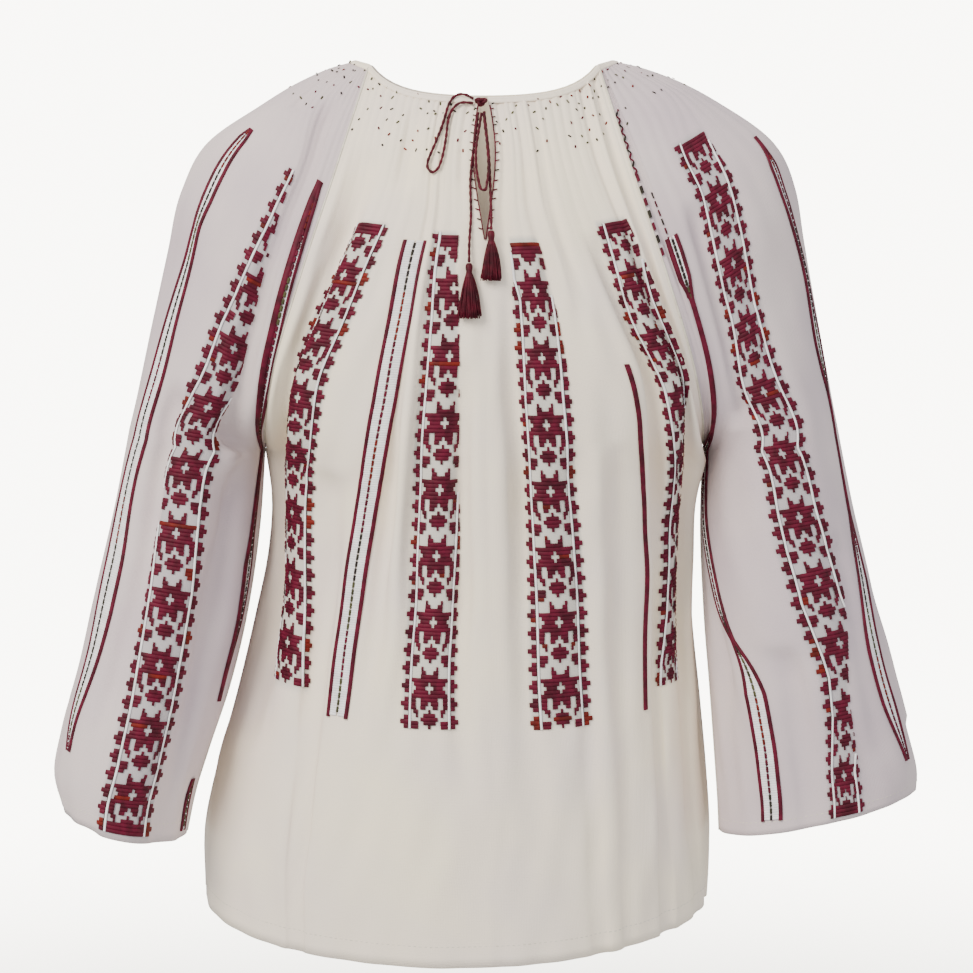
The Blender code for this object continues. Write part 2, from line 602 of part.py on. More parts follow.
def make_tassel(name, top, skirt, half_width, half_depth):
    """A bound head with strands below it that share only their roots."""
    n = TASSEL_GRID
    knots = np.linspace(-1, 1, n + 1)
    root_z, tip_z = -TASSEL_HEAD, -TASSEL_HEAD - skirt
    points, faces = [], []
    flat = half_depth / half_width
    for level, wide, deep in ((0.0, 0.5, 0.5), (-1.6, 1.0, 1.0), (-4.2, 1.12, 1.0), (-6.4, 0.9, 0.8), (root_z, 1.3, 1.3 * flat)):
        for b in knots:
            for a in knots:
                x, y = square_to_disc(a, b)
                points.append([x * TASSEL_NECK * wide, y * TASSEL_NECK * deep, level])
    per = (n + 1) ** 2
    border = (
        [(0, c) for c in range(n)] + [(r, n) for r in range(n)]
        + [(n, c) for c in range(n, 0, -1)] + [(r, 0) for r in range(n, 0, -1)]
    )
    ring = [r * (n + 1) + c for r, c in border]
    for level in range(4):
        for i, j in zip(ring, ring[1:] + ring[:1]):
            faces.append((level * per + i, level * per + j, (level + 1) * per + j, (level + 1) * per + i))
    faces += [(i, i + n + 1, i + n + 2, i + 1) for r in range(n) for c in range(n) for i in [r * (n + 1) + c]]
    for r in range(n):
        for c in range(n):
            first = 4 * per + r * (n + 1) + c
            last = [first, first + 1, first + n + 2, first + n + 1]
            cell = np.array([square_to_disc(knots[c + dc], knots[r + dr]) for dr, dc in ((0, 0), (0, 1), (1, 1), (1, 0))])
            for down, spread, fill in ((0.45, 0.66, 0.62), (1.0, 1.0, 0.50)):
                corners = (cell.mean(axis=0) + (cell - cell.mean(axis=0)) * fill) * spread
                this = list(range(len(points), len(points) + 4))
                points += [[x * half_width, y * half_depth, root_z - skirt * down] for x, y in corners]
                for k in range(4):
                    faces.append((last[k], last[(k + 1) % 4], this[(k + 1) % 4], this[k]))
                last = this
            faces.append(tuple(last))
    used = sorted({i for face in faces for i in face})
    renumber = {old: new for new, old in enumerate(used)}
    placed = np.array([points[i] for i in used], float)
    lean = (on_cloth(top[0], top[2] + tip_z, 0)[1] - half_depth - LIFT) - top[1]
    placed[:, 1] += lean * placed[:, 2] / tip_z
    placed += top
    add_object(name, placed, [tuple(renumber[i] for i in face) for face in faces], RED_THREAD, 0.6)


def make_drawstring():
    make_knot()
    lift = CORD / 2 + LIFT
    in_front = lift + CORD + LIFT
    make_cord("cord_loop_wide", cord_points(WIDE_LOOP, lift + BINDING_PROUD, lift + BINDING_PROUD))
    make_cord("cord_loop_narrow", cord_points(NARROW_LOOP, in_front, in_front))
    for cord_name, tassel_name, route, size in (
        ("cord_end_long", "tassel_long", LONG_END, LONG_TASSEL),
        ("cord_end_short", "tassel_short", SHORT_END, SHORT_TASSEL),
    ):
        points = cord_points(route, lift, CORD / 2 + END_LIFT)
        make_cord(cord_name, points)
        make_tassel(tassel_name, points[-1] - [0, 0, END_GAP], *size)


def make_blouse():
    for old in list(bpy.data.objects):
        bpy.data.objects.remove(old)
    make_cloth()
    make_binding()
    make_drawstring()


make_blouse()
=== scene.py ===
# %% [markdown]
# # A gathered folk blouse
#
# This lesson dresses a plain solid model of a blouse in fine cloth, embroidery and cord. The blouse
# is a Romanian ie: soft cotton panels that are drawn in at the neck by a cord, with wide open
# sleeves and stripes of counted-thread embroidery. It is filled out as if it were worn, and it is
# empty inside. The solids give the places and sizes; everything that catches the eye is made here.

# %% Load the solid model
import math

import bpy
import numpy as np
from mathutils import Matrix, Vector


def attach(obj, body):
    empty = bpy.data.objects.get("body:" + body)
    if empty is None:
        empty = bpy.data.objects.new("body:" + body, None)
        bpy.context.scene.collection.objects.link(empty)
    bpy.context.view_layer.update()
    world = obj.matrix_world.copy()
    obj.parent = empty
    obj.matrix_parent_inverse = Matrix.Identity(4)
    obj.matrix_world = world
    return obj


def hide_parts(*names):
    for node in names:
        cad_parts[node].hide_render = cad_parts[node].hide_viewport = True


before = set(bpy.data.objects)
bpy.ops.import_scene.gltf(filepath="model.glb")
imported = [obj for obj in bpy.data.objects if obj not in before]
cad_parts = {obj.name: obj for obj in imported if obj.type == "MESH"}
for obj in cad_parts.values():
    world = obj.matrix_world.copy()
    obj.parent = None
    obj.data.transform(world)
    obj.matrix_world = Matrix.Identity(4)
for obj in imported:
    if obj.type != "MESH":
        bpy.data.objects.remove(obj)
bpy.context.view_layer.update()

MM = 0.001
print("solids:", sorted(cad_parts))

# %% [markdown]
# ## Small helpers
#
# A shape that changes along a garment is easiest to read as a short table, with one row for each
# level. A smooth curve through its rows gives every level in between. The colours are the sRGB
# values that a colour picker shows, and one function turns them into the linear values that the
# renderer works with.

# %% Tables, colours and nodes
def table(names, *rows):
    """A small table with named columns. Its first column says where each row stands."""
    return dict(zip(names.split(), np.array(rows, float).T))


def read(rows, name, place):
    """One column of a table, at any place between its rows, on a smooth curve."""
    knots = next(iter(rows.values()))
    values = rows[name]
    slopes = np.gradient(values, knots)
    place = float(np.clip(place, knots[0], knots[-1]))
    i = int(np.clip(np.searchsorted(knots, place, side="right") - 1, 0, len(knots) - 2))
    span = knots[i + 1] - knots[i]
    t = (place - knots[i]) / span
    start = (2 * t**3 - 3 * t**2 + 1) * values[i] + (t**3 - 2 * t**2 + t) * span * slopes[i]
    end = (3 * t**2 - 2 * t**3) * values[i + 1] + (t**3 - t**2) * span * slopes[i + 1]
    return float(start + end)


def linear(hex_colour):
    """An sRGB hex colour as linear red, green, blue and alpha."""
    channels = [int(hex_colour[i:i + 2], 16) / 255 for i in (1, 3, 5)]
    return (*(c / 12.92 if c <= 0.04045 else ((c + 0.055) / 1.055) ** 2.4 for c in channels), 1.0)


def add_node(material, kind, inputs=(), **settings):
    """Adds a node, sets its settings, and sets or links its inputs. A socket in inputs becomes a link."""
    node = material.node_tree.nodes.new(kind)
    for name, value in settings.items():
        setattr(node, name, value)
    for name, value in dict(inputs).items():
        if isinstance(value, bpy.types.NodeSocket):
            material.node_tree.links.new(value, node.inputs[name])
        else:
            node.inputs[name].default_value = value
    return node


def lengths(line):
    """Distance along a line of points to each of its points."""
    return np.concatenate([[0], np.cumsum(np.linalg.norm(np.diff(line, axis=0), axis=1))])


def at_lengths(line, places):
    """Points on a line at the given distances along it."""
    far = lengths(line)
    return np.stack([np.interp(places, far, line[:, k]) for k in range(3)], axis=-1)


print("helpers ready")

# %% [markdown]
# ## Camera, floor and light
#
# The camera stands straight in front and a little above the middle of the blouse, 2.3 m away, as a
# long lens would be used for clothes. The floor is a round sheet of paper that sweeps up into a wall
# on every side with no corner, and it glows far from the blouse, as a backdrop with lamps of its
# own does. It is kept out of the light on the blouse, so that the pale cloth isn't washed out. Three
# large soft lights give the folds their gentle shade.

# %% Camera
CAMERA_AWAY = 2.3
CAMERA_UP = math.radians(6.5)
FRAME_WIDTH = 0.70
LOOK_AT = Vector((0.0018, 0.0, -0.304))

camera = bpy.data.objects.new("camera", bpy.data.cameras.new("camera"))
camera.location = LOOK_AT + CAMERA_AWAY * Vector((0, -math.cos(CAMERA_UP), math.sin(CAMERA_UP)))
camera.rotation_euler = (LOOK_AT - camera.location).to_track_quat("-Z", "Y").to_euler()
camera.data.sensor_width = 36.0
camera.data.lens = 36.0 * CAMERA_AWAY / FRAME_WIDTH
bpy.context.scene.collection.objects.link(camera)
bpy.context.scene.camera = camera
print("lens", round(camera.data.lens, 1), "mm")

# %% Floor and backdrop
FLOOR_Z = -0.95
FLOOR_RADIUS = 4.6
SWEEP = 0.9
BACKDROP_GLOW = 8.5

quarter = np.linspace(0, math.pi / 2, 12)
profile = [(0.001, FLOOR_Z), (1.0, FLOOR_Z), (2.0, FLOOR_Z), (3.2, FLOOR_Z)]
profile += [(FLOOR_RADIUS + SWEEP * math.sin(a), FLOOR_Z + SWEEP * (1 - math.cos(a))) for a in quarter]
profile += [(FLOOR_RADIUS + SWEEP, 3.0)]
round_it = np.linspace(0, 2 * math.pi, 96, endpoint=False)
ring = np.arange(96)
backdrop_mesh = bpy.data.meshes.new("backdrop")
backdrop_mesh.from_pydata(
    [(r * math.cos(a), r * math.sin(a), z) for r, z in profile for a in round_it],
    [],
    [
        (96 * i + j, 96 * i + (j + 1) % 96, 96 * i + 96 + (j + 1) % 96, 96 * i + 96 + j)
        for i in range(len(profile) - 1) for j in ring.tolist()
    ],
)
backdrop_mesh.shade_smooth()
backdrop = bpy.data.objects.new("backdrop", backdrop_mesh)
paper = bpy.data.materials.new("matte_paper")
paper.use_nodes = True
sheet = paper.node_tree.nodes["Principled BSDF"]
sheet.inputs["Base Color"].default_value = linear("#F2F0EA")
sheet.inputs["Roughness"].default_value = 0.9
sheet.inputs["Emission Color"].default_value = linear("#FAF7EE")
where = add_node(paper, "ShaderNodeTexCoord")
flat = add_node(
    paper, "ShaderNodeVectorMath", {0: where.outputs["Object"], 1: (1.0, 1.0, 0.0)}, operation="MULTIPLY"
)
far = add_node(paper, "ShaderNodeVectorMath", {0: flat.outputs["Vector"]}, operation="LENGTH")
glow = add_node(
    paper, "ShaderNodeMapRange",
    {"Value": far.outputs["Value"], "From Min": 0.3, "From Max": 2.0, "To Min": 0.0, "To Max": BACKDROP_GLOW},
    interpolation_type="SMOOTHSTEP",
)
paper.node_tree.links.new(glow.outputs["Result"], sheet.inputs["Emission Strength"])
backdrop.data.materials.append(paper)
backdrop.visible_diffuse = False
backdrop.visible_glossy = False
backdrop.visible_shadow = False
bpy.context.scene.collection.objects.link(backdrop)
print("floor at", FLOOR_Z, "with a round backdrop", FLOOR_RADIUS + SWEEP, "m away")

# %% Lights
def add_light(name, place, size, power, colour):
    light = bpy.data.lights.new(name, "AREA")
    light.shape = "RECTANGLE"
    light.size, light.size_y = size
    light.energy = power
    light.color = linear(colour)[:3]
    made = bpy.data.objects.new(name, light)
    made.location = place
    made.rotation_euler = (Vector((0, 0, -0.3)) - Vector(place)).to_track_quat("-Z", "Y").to_euler()
    bpy.context.scene.collection.objects.link(made)


add_light("key", (-1.7, -2.1, 1.5), (1.5, 1.5), 128, "#FFF7EB")
add_light("fill", (2.2, -1.9, 0.2), (1.8, 1.8), 14, "#F0F0FF")
add_light("top", (0.0, 0.6, 2.3), (2.4, 1.6), 16, "#FFFFFF")
world = bpy.data.worlds.new("studio")
world.use_nodes = True
world.node_tree.nodes["Background"].inputs["Color"].default_value = linear("#F7F6F2")
world.node_tree.nodes["Background"].inputs["Strength"].default_value = 1.0
bpy.context.scene.world = world

# %% [markdown]
# ## The form under the cloth
#
# Each piece of an ie is a plain rectangle of cloth, with no darts or curves in its cut. Here each
# rectangle is laid over the figure row by row. A row first has a smooth line round the body. The
# cloth is longer than that line, so the spare length goes into folds between ridges that touch it.
# All sizes are in millimetres.

# %% Sizes of the blouse
CLOTH = 0.9
SEAM_GAP = 0.4
ARMPIT_ROOM = 2.0
PANEL_CUT = 560.0
SLEEVE_CUT = 460.0
SLEEVE_GIRTH = 410.0
NECK_DROP = 26.0
BINDING_DROP = 30.2
CLOTH_TOP_DROP = 28.4
SLIT_END_DROP = 123.0
ARMPIT_DROP = 290.0
HEM_DROP = 626.0
BACK_NECK_DROP = 24.0
BACK_HEM_DROP = 612.0
ARMPIT_Z = -276.0
SIDE_HEM_Z = -600.0

YOKE = table(
    "share seam_x seam_z depth span panel",
    (0.00, 80, -3, 45.0, 42, 61.5), (0.25, 103, -78, 76.0, 72, 60), (0.50, 126, -148, 88.0, 86, 62),
    (0.75, 146, -214, 81.5, 106, 70), (0.90, 154, -253, 77.0, 140, 80),
    (1.00, 157, ARMPIT_Z, 78.0, 180, 90),
)
SHOULDER = table(
    "share low_x low_z high_x high_z",
    (0.000, 90, 0, 90, 0), (0.0625, 111, -6, 112, -5), (0.125, 133, -16, 137, -14),
    (0.223, 161, -33, 169, -31),
    (0.375, 200, -62, 207, -60), (0.50, 216, -92, 220, -90), (0.65, 225, -134, 229, -132),
    (0.80, 237, -188, 239, -187),
    (0.92, 248, -238, 249, -237), (1.00, 254, -262, 254, -262),
)
FRONT_PROFILE = table(
    "drop y",
    (26, -62), (60, -84), (100, -101), (150, -113), (200, -119), (260, -121),
    (330, -119), (420, -118), (520, -121), (624, -123),
)
BACK_PROFILE = table(
    "drop y",
    (26, 58), (60, 73), (110, 89), (170, 98), (240, 101), (320, 98), (420, 101), (520, 107), (624, 113),
)
SIDES = table(
    "drop low high turn",
    (290, -157.0, 157.0, 1), (325, -152.5, 149.0, 2), (365, -155.0, 148.0, 3), (415, -165.0, 150.0, 4),
    (475, -179.0, 156.0, 6), (535, -195.0, 161.5, 8), (575, -203.0, 164.0, 8), (624, -203.0, 162.5, 8),
)
ARM_LOW = table(
    "share outer_x outer_z inner_x inner_z forward",
    (0.00, 254, -262, 157, ARMPIT_Z, 0), (0.16, 263, -310, 160, -326, 10), (0.36, 276, -366, 168, -386, 22),
    (0.58, 289, -424, 181, -442, 32), (0.78, 301, -475, 197, -490, 38), (0.90, 305, -503, 206, -519, 40),
    (1.00, 300, -525, 212, -547, 40),
)
ARM_HIGH = table(
    "share outer_x outer_z inner_x inner_z forward",
    (0.00, 254, -262, 157, ARMPIT_Z, 0), (0.16, 263, -313, 155, -328, 10), (0.36, 276, -368, 157, -389, 22),
    (0.58, 291, -422, 161, -443, 31), (0.78, 304, -472, 165, -497, 36), (0.90, 309, -499, 167, -526, 38),
    (1.00, 308, -515, 168, -547, 38),
)
print("panels", PANEL_CUT, "mm wide, sleeves", SLEEVE_CUT, "mm wide")

# %% Where the folds run
FRONT_LOW_RIDGES = (0, 46, 116, 186, 280)
FRONT_LOW_PLACES = table(
    "drop first second third",
    (26, 0.165, 0.330, 0.600), (60, 0.175, 0.335, 0.600), (100, 0.205, 0.352, 0.656),
    (125, 0.232, 0.395, 0.716),
    (180, 0.224, 0.424, 0.800), (232, 0.210, 0.435, 0.838), (250, 0.203, 0.433, 0.815),
    (262, 0.195, 0.424, 0.789),
    (272, 0.185, 0.410, 0.757), (282, 0.173, 0.390, 0.718), (290, 0.163, 0.374, 0.688),
    (300, 0.166, 0.386, 0.699),
    (315, 0.170, 0.404, 0.715), (345, 0.176, 0.432, 0.725), (400, 0.177, 0.452, 0.690),
    (460, 0.178, 0.462, 0.645),
    (540, 0.179, 0.465, 0.605), (624, 0.175, 0.472, 0.585),
)
FRONT_HIGH_RIDGES = (0, 54, 130, 190, 280)
FRONT_HIGH_PLACES = table(
    "drop first second third",
    (26, 0.150, 0.400, 0.690), (60, 0.150, 0.400, 0.670), (100, 0.177, 0.466, 0.730),
    (125, 0.225, 0.520, 0.778),
    (180, 0.250, 0.617, 0.820), (232, 0.246, 0.660, 0.876), (250, 0.241, 0.642, 0.843),
    (262, 0.233, 0.616, 0.808),
    (272, 0.223, 0.588, 0.772), (282, 0.209, 0.554, 0.729), (290, 0.198, 0.525, 0.692),
    (300, 0.203, 0.537, 0.705),
    (315, 0.211, 0.556, 0.728), (345, 0.222, 0.577, 0.742), (400, 0.240, 0.580, 0.708),
    (460, 0.242, 0.560, 0.683), (540, 0.244, 0.539, 0.686), (624, 0.273, 0.552, 0.739),
)
FRONT_FOLDS = {-1: (1, 2, 1, 1), 1: (1, 2, 1, 2)}
BACK_RIDGES = (0, 66, 135, 210, 280)
BACK_FOLDS = (2, 2, 2, 2)
BACK_PLACES = table(
    "drop first second third",
    (26, 0.236, 0.482, 0.750), (160, 0.265, 0.500, 0.780), (300, 0.215, 0.510, 0.725),
    (624, 0.250, 0.460, 0.765),
)
SLEEVE_RIDGES = {-1: (-230, -210, -122, -52, 50, 130, 230), 1: (-230, -165, -97, -42, 45, 110, 230)}
SLEEVE_FOLDS = {-1: (1, 1, 1, 1, 2, 2), 1: (1, 1, 1, 1, 1, 2)}
SLEEVE_PLACES = {
    -1: table(
        "share one two three four five",
        (0.0, -0.93, -0.50, -0.25, 0.22, 0.55), (0.13, -0.93, -0.555, -0.29, 0.24, 0.57),
        (0.25, -0.94, -0.727, -0.331, 0.26, 0.60), (0.4, -0.95, -0.77, -0.386, 0.28, 0.64),
        (0.55, -0.96, -0.77, -0.394, 0.30, 0.68), (0.7, -0.975, -0.756, -0.389, 0.32, 0.71),
        (0.85, -0.975, -0.719, -0.374, 0.34, 0.72), (1.0, -0.93, -0.528, -0.278, 0.28, 0.58),
        (1.15, -0.90, -0.513, -0.233, 0.28, 0.58), (1.3, -0.885, -0.518, -0.244, 0.28, 0.58),
        (1.5, -0.87, -0.531, -0.241, 0.28, 0.58), (1.7, -0.87, -0.554, -0.224, 0.28, 0.58),
        (1.85, -0.87, -0.562, -0.244, 0.28, 0.58), (2.0, -0.87, -0.544, -0.240, 0.28, 0.58),
    ),
    1: table(
        "share one two three four five",
        (0.0, -0.93, -0.40, -0.18, 0.20, 0.50), (0.13, -0.93, -0.419, -0.19, 0.22, 0.52),
        (0.25, -0.93, -0.598, -0.20, 0.24, 0.55), (0.4, -0.93, -0.644, -0.25, 0.26, 0.59),
        (0.55, -0.93, -0.685, -0.25, 0.28, 0.62), (0.7, -0.93, -0.704, -0.22, 0.29, 0.65),
        (0.85, -0.93, -0.687, -0.22, 0.31, 0.67), (1.0, -0.93, -0.504, -0.19, 0.25, 0.53),
        (1.15, -0.92, -0.451, -0.175, 0.25, 0.53), (1.3, -0.84, -0.417, -0.18, 0.25, 0.53),
        (1.5, -0.72, -0.409, -0.21, 0.25, 0.53), (1.7, -0.69, -0.422, -0.19, 0.25, 0.53),
        (1.85, -0.69, -0.431, -0.15, 0.25, 0.53), (2.0, -0.69, -0.423, -0.12, 0.25, 0.53),
    ),
}
TIGHTEST_FOLD = 0.72
TIGHTEST_SLEEVE_FOLD = 0.90
RIDGE_FLAT = 15.0
SLEEVE_RIDGE_FLAT = 24.0
FOLD_DEPTH = table("drop share", (26, 1.0), (300, 1.0), (400, 0.8), (480, 0.45), (626, 0.22))
SLEEVE_FOLD_DEPTH = table("level share", (0, 1.0), (1.2, 1.0), (1.6, 0.7), (1.85, 0.4), (2, 0.3))
FOLD_ROOM = 18.0
WANDER = 0.06
WANDER_LENGTH = 430.0
TAKE_UP = table(
    "drop panel sleeve",
    (26, 0.33, 0.14), (42, 0.36, 0.23), (60, 0.39, 0.34), (85, 0.43, 0.49), (123, 0.51, 0.62),
    (160, 0.60, 0.68),
    (200, 0.70, 0.68), (245, 0.82, 0.68), (273, 0.92, 0.80), (290, 1.0, 0.91), (340, 1.0, 0.95),
    (450, 1.0, 1.0),
    (626, 1.0, 1.0),
)
SLIT = table("drop half", (26, 2.5), (42, 5.2), (60, 7.0), (85, 5.8), (105, 2.8), (123, 0.0))
print("ridges across half the front:", FRONT_LOW_RIDGES)

# %% A fold
STEEPNESS = np.linspace(0, 0.97, 50)[:, None]


def fold_cloth(columns, ridges, places, folds, tightest, down, flat):
    """Where each column of a row lies along the row's line, and how far inside the line it lies."""
    along = np.zeros(len(columns))
    depth = np.zeros(len(columns))
    t = np.linspace(0, 1, 161)
    for k, count in enumerate(folds):
        cloth, line = ridges[k + 1] - ridges[k], places[k + 1] - places[k]
        ratio = float(np.clip(line / cloth, tightest, 1))
        wander = WANDER * math.sin(2 * math.pi * down / WANDER_LENGTH + 2.1 * k)
        turns = (t + wander * np.sin(math.pi * t)) * count
        beside_ridge = np.clip(np.minimum(t, 1 - t) * cloth / flat, 0, 1)
        wave = np.tanh(1.2 * np.sin(2 * math.pi * turns)) / math.tanh(1.2) * beside_ridge**1.5
        ratios = np.sqrt(1 - (STEEPNESS * wave) ** 2).mean(axis=1)
        gentlest = (cloth - 2 * flat) / count / FOLD_ROOM
        slope = min(float(np.interp(-ratio, -ratios, STEEPNESS[:, 0])), max(gentlest, 0.2)) * wave
        forward = np.sqrt(1 - slope**2)
        progress = np.concatenate([[0], np.cumsum((forward[1:] + forward[:-1]) / 2)])
        inward = np.concatenate([[0], np.cumsum((slope[1:] + slope[:-1]) / 2)])
        here = (columns >= ridges[k]) & (columns <= ridges[k + 1])
        at = (columns[here] - ridges[k]) / cloth
        along[here] = places[k] + line * np.interp(at, t, progress / progress[-1])
        depth[here] = line / progress[-1] * np.interp(at, t, inward - inward[-1] * t)
    return along, depth


along, depth = fold_cloth(np.linspace(0, 100, 51), (0, 100), (0, 80), (2,), 0.7, 300, 15)
print("a fold that takes 100 mm of cloth into 80 mm is", round(float(depth.max()), 1), "mm deep")

# %% A row round the body
def yoke_share(drop):
    return (drop - NECK_DROP) / (ARMPIT_DROP - NECK_DROP)


def panel_line(drop, front):
    """A level of the front or back, from its low edge to its high edge, and the middle's place on it."""
    share = yoke_share(drop)
    if share < 1:
        high = read(YOKE, "seam_x", share)
        low, turn = -high, read(YOKE, "share", share)
        edge_y = read(YOKE, "depth", share) * math.sin(math.radians(read(YOKE, "span", share)))
        edge_z = read(YOKE, "seam_z", share)
        half_span = math.radians(read(YOKE, "panel", share))
    else:
        low, high, turn = (read(SIDES, name, drop) for name in ("low", "high", "turn"))
        edge_y = 0.0
        edge_z = ARMPIT_Z + (SIDE_HEM_Z - ARMPIT_Z) * (drop - ARMPIT_DROP) / (HEM_DROP - ARMPIT_DROP)
        half_span = math.pi / 2
    low, high = low + SEAM_GAP / 2, high - SEAM_GAP / 2
    if front:
        middle_y, middle_z, edge_y = read(FRONT_PROFILE, "y", drop), -drop, -edge_y
    else:
        down = (drop - NECK_DROP) / (HEM_DROP - NECK_DROP)
        middle_y = read(BACK_PROFILE, "y", drop)
        middle_z = -BACK_NECK_DROP - (BACK_HEM_DROP - BACK_NECK_DROP) * down
        turn = -turn
    angle = np.linspace(-half_span, half_span, 181)
    rise = (np.cos(angle) - math.cos(half_span)) / (1 - math.cos(half_span))
    bulge = 0.6 * min(1.0, (HEM_DROP - drop) / (HEM_DROP - ARMPIT_DROP))
    line = np.stack([
        (low + high) / 2 + (high - low) / 2 * np.sin(angle) / math.sin(half_span),
        edge_y + (middle_y - edge_y) * rise,
        edge_z + (middle_z - edge_z) * ((1 + bulge) * rise - bulge * rise**2),
    ], axis=-1)
    return line, float(np.interp(math.radians(turn), angle, lengths(line)))


print("round the front at the hem:", round(float(lengths(panel_line(HEM_DROP, True)[0])[-1])), "mm")

# %% A row round the arm
def sleeve_line(level, side):
    """A row of a sleeve from its front seam over the top to its back seam, and the top's place on it.
    Levels 0 to 1 run from the neck to the armpit, and 1 to 2 from the armpit to the cuff."""
    if level < 1:
        edge = "high" if side > 0 else "low"
        top = np.array([read(SHOULDER, edge + "_x", level), 0, read(SHOULDER, edge + "_z", level)])
        under = np.array([read(YOKE, "seam_x", level), 0, read(YOKE, "seam_z", level)])
        span, depth = math.radians(read(YOKE, "span", level)), read(YOKE, "depth", level)
    else:
        arm = ARM_HIGH if side > 0 else ARM_LOW
        outer_x, outer_z, inner_x, inner_z, forward = (
            read(arm, name, level - 1) for name in ("outer_x", "outer_z", "inner_x", "inner_z", "forward")
        )
        top, under = np.array([outer_x, -forward, outer_z]), np.array([inner_x, -forward, inner_z])
        span = math.pi
        depth = math.sqrt(2 * (SLEEVE_GIRTH / 2 / math.pi) ** 2 - (np.linalg.norm(top - under) / 2) ** 2)
    out = (top - under) / np.linalg.norm(top - under)
    radius = np.linalg.norm(top - under) / (1 - math.cos(span))
    angle = np.linspace(-span, span, 241)[:, None]
    line = top - radius * out + radius * np.cos(angle) * out + depth * np.sin(angle) * np.array([0, 1, 0])
    beside_seam = np.clip((1 - np.abs(angle[:, 0]) / span) / 0.3, 0, 1)
    away = ARMPIT_ROOM * float(np.clip((level - 0.8) / 0.15, 0, 1) * np.clip((1.4 - level) / 0.3, 0, 1))
    line[:, 0] = side * (line[:, 0] + SEAM_GAP / 2 + away * np.sin(math.pi * beside_seam) ** 2)
    return line, float(lengths(line)[120])


print("round the arm:", round(float(lengths(sleeve_line(1.5, 1)[0])[-1])), "mm")

# %% Cloth rows with their folds
def spread_places(far, middle, shares):
    """Places along a line for shares from -1 at its start, over 0 at the middle, to 1 at its far end."""
    margin = SEAM_GAP / 2
    return np.array([middle + s * ((middle if s < 0 else far - middle) - margin) for s in shares])


def front_row(drop, columns, side):
    """One level of the low or high half of the front, as points on the form and depths inside it."""
    line, middle = panel_line(drop, True)
    opening = max(read(SLIT, "half", drop), 0) if drop < SLIT_END_DROP else 0.0
    take_up = read(TAKE_UP, "panel", drop)
    ridges, rows = (
        (FRONT_LOW_RIDGES, FRONT_LOW_PLACES) if side < 0 else (FRONT_HIGH_RIDGES, FRONT_HIGH_PLACES)
    )
    shares = np.array([0.0] + [read(rows, name, drop) for name in ("first", "second", "third")] + [1.0])
    half = middle if side < 0 else lengths(line)[-1] - middle
    places = opening + shares * (half - opening - SEAM_GAP / 2)
    cloth, ridges, flat = np.abs(columns) * take_up, np.array(ridges) * take_up, RIDGE_FLAT * take_up
    along, depth = fold_cloth(cloth, ridges, places, FRONT_FOLDS[side], TIGHTEST_FOLD, drop, flat)
    return at_lengths(line, middle + side * along), depth * read(FOLD_DEPTH, "share", drop)


def back_row(drop, columns):
    """One level of the back, from its low edge to its high edge."""
    line, middle = panel_line(drop, False)
    take_up = read(TAKE_UP, "panel", drop)
    outward = [read(BACK_PLACES, name, drop) for name in ("first", "second", "third")]
    shares = [-1, *(-s for s in reversed(outward)), 0, *outward, 1]
    ridges = np.array([*(-r for r in reversed(BACK_RIDGES[1:])), *BACK_RIDGES]) * take_up
    places = spread_places(lengths(line)[-1], middle, shares)
    folds = (*reversed(BACK_FOLDS), *BACK_FOLDS)
    cloth = columns * take_up
    along, depth = fold_cloth(cloth, ridges, places, folds, TIGHTEST_FOLD, drop, RIDGE_FLAT * take_up)
    return at_lengths(line, along), depth * read(FOLD_DEPTH, "share", drop)


def sleeve_row(level, columns, side):
    """One row of a sleeve, from its front seam to its back seam."""
    line, middle = sleeve_line(level, side)
    down = NECK_DROP + level * (ARMPIT_DROP - NECK_DROP)
    take_up = read(TAKE_UP, "sleeve", down)
    rows = SLEEVE_PLACES[side]
    shares = [-1, *(read(rows, name, level) for name in ("one", "two", "three", "four", "five")), 1]
    places = spread_places(lengths(line)[-1], middle, shares)
    ridges = np.array(SLEEVE_RIDGES[side]) * take_up
    cloth, flat = columns * take_up, SLEEVE_RIDGE_FLAT * take_up
    along, depth = fold_cloth(cloth, ridges, places, SLEEVE_FOLDS[side], TIGHTEST_SLEEVE_FOLD, down, flat)
    return at_lengths(line, along), depth * read(SLEEVE_FOLD_DEPTH, "share", level)


slit_edge = front_row(CLOTH_TOP_DROP, np.array([0.0, PANEL_CUT / 2]), 1)[0][0]
print("the front's top row starts", round(float(slit_edge[0]), 1), "mm from the middle")

# %% [markdown]
# ## Fine gathers and soft dents
#
# The drawing-in at the neck leaves a fan of small rounded gathers that die out at uneven heights.
# A rounded ridge with a sharp valley is what a gathering thread gives, and the absolute value of a
# cosine has just that outline. Each gather gets its own length from a seeded random table, so they
# don't end on one line, and a few slow waves keep the rest of the cloth from looking ironed.

# %% Gathers
GATHER = table(
    "drop depth", (26, 0.9), (60, 0.55), (90, 0.3), (125, 0.16), (160, 0.08), (200, 0.03), (260, 0.0),
    (626, 0.0)
)


def gather_depths(drops, columns, width, count, seed):
    """How deep each column of each row lies below the ridges of the fine gathers."""
    reach = np.random.default_rng(seed).uniform(0.7, 1.5, count + 2)
    place = (columns + width / 2) / width * count
    reach_here = np.interp(place, np.arange(count + 2), reach)
    valley = 1 - np.abs(np.cos(math.pi * place))
    eased = NECK_DROP + (np.array(drops)[:, None] - NECK_DROP) / reach_here
    size = np.vectorize(lambda drop: max(read(GATHER, "depth", drop), 0.0))(eased)
    return size * valley


def soft_dents(drops, columns, seed):
    """Slow waves across and down the cloth, as depths in millimetres."""
    made = np.zeros((len(drops), len(columns)))
    random = np.random.default_rng(seed)
    for _ in range(26):
        across, down = random.normal(0, 1 / 42), random.normal(0, 1 / 150)
        phase = random.uniform(0, 2 * math.pi)
        made += np.cos(2 * math.pi * (across * columns[None] + down * np.array(drops)[:, None]) + phase)
    return 0.16 * made


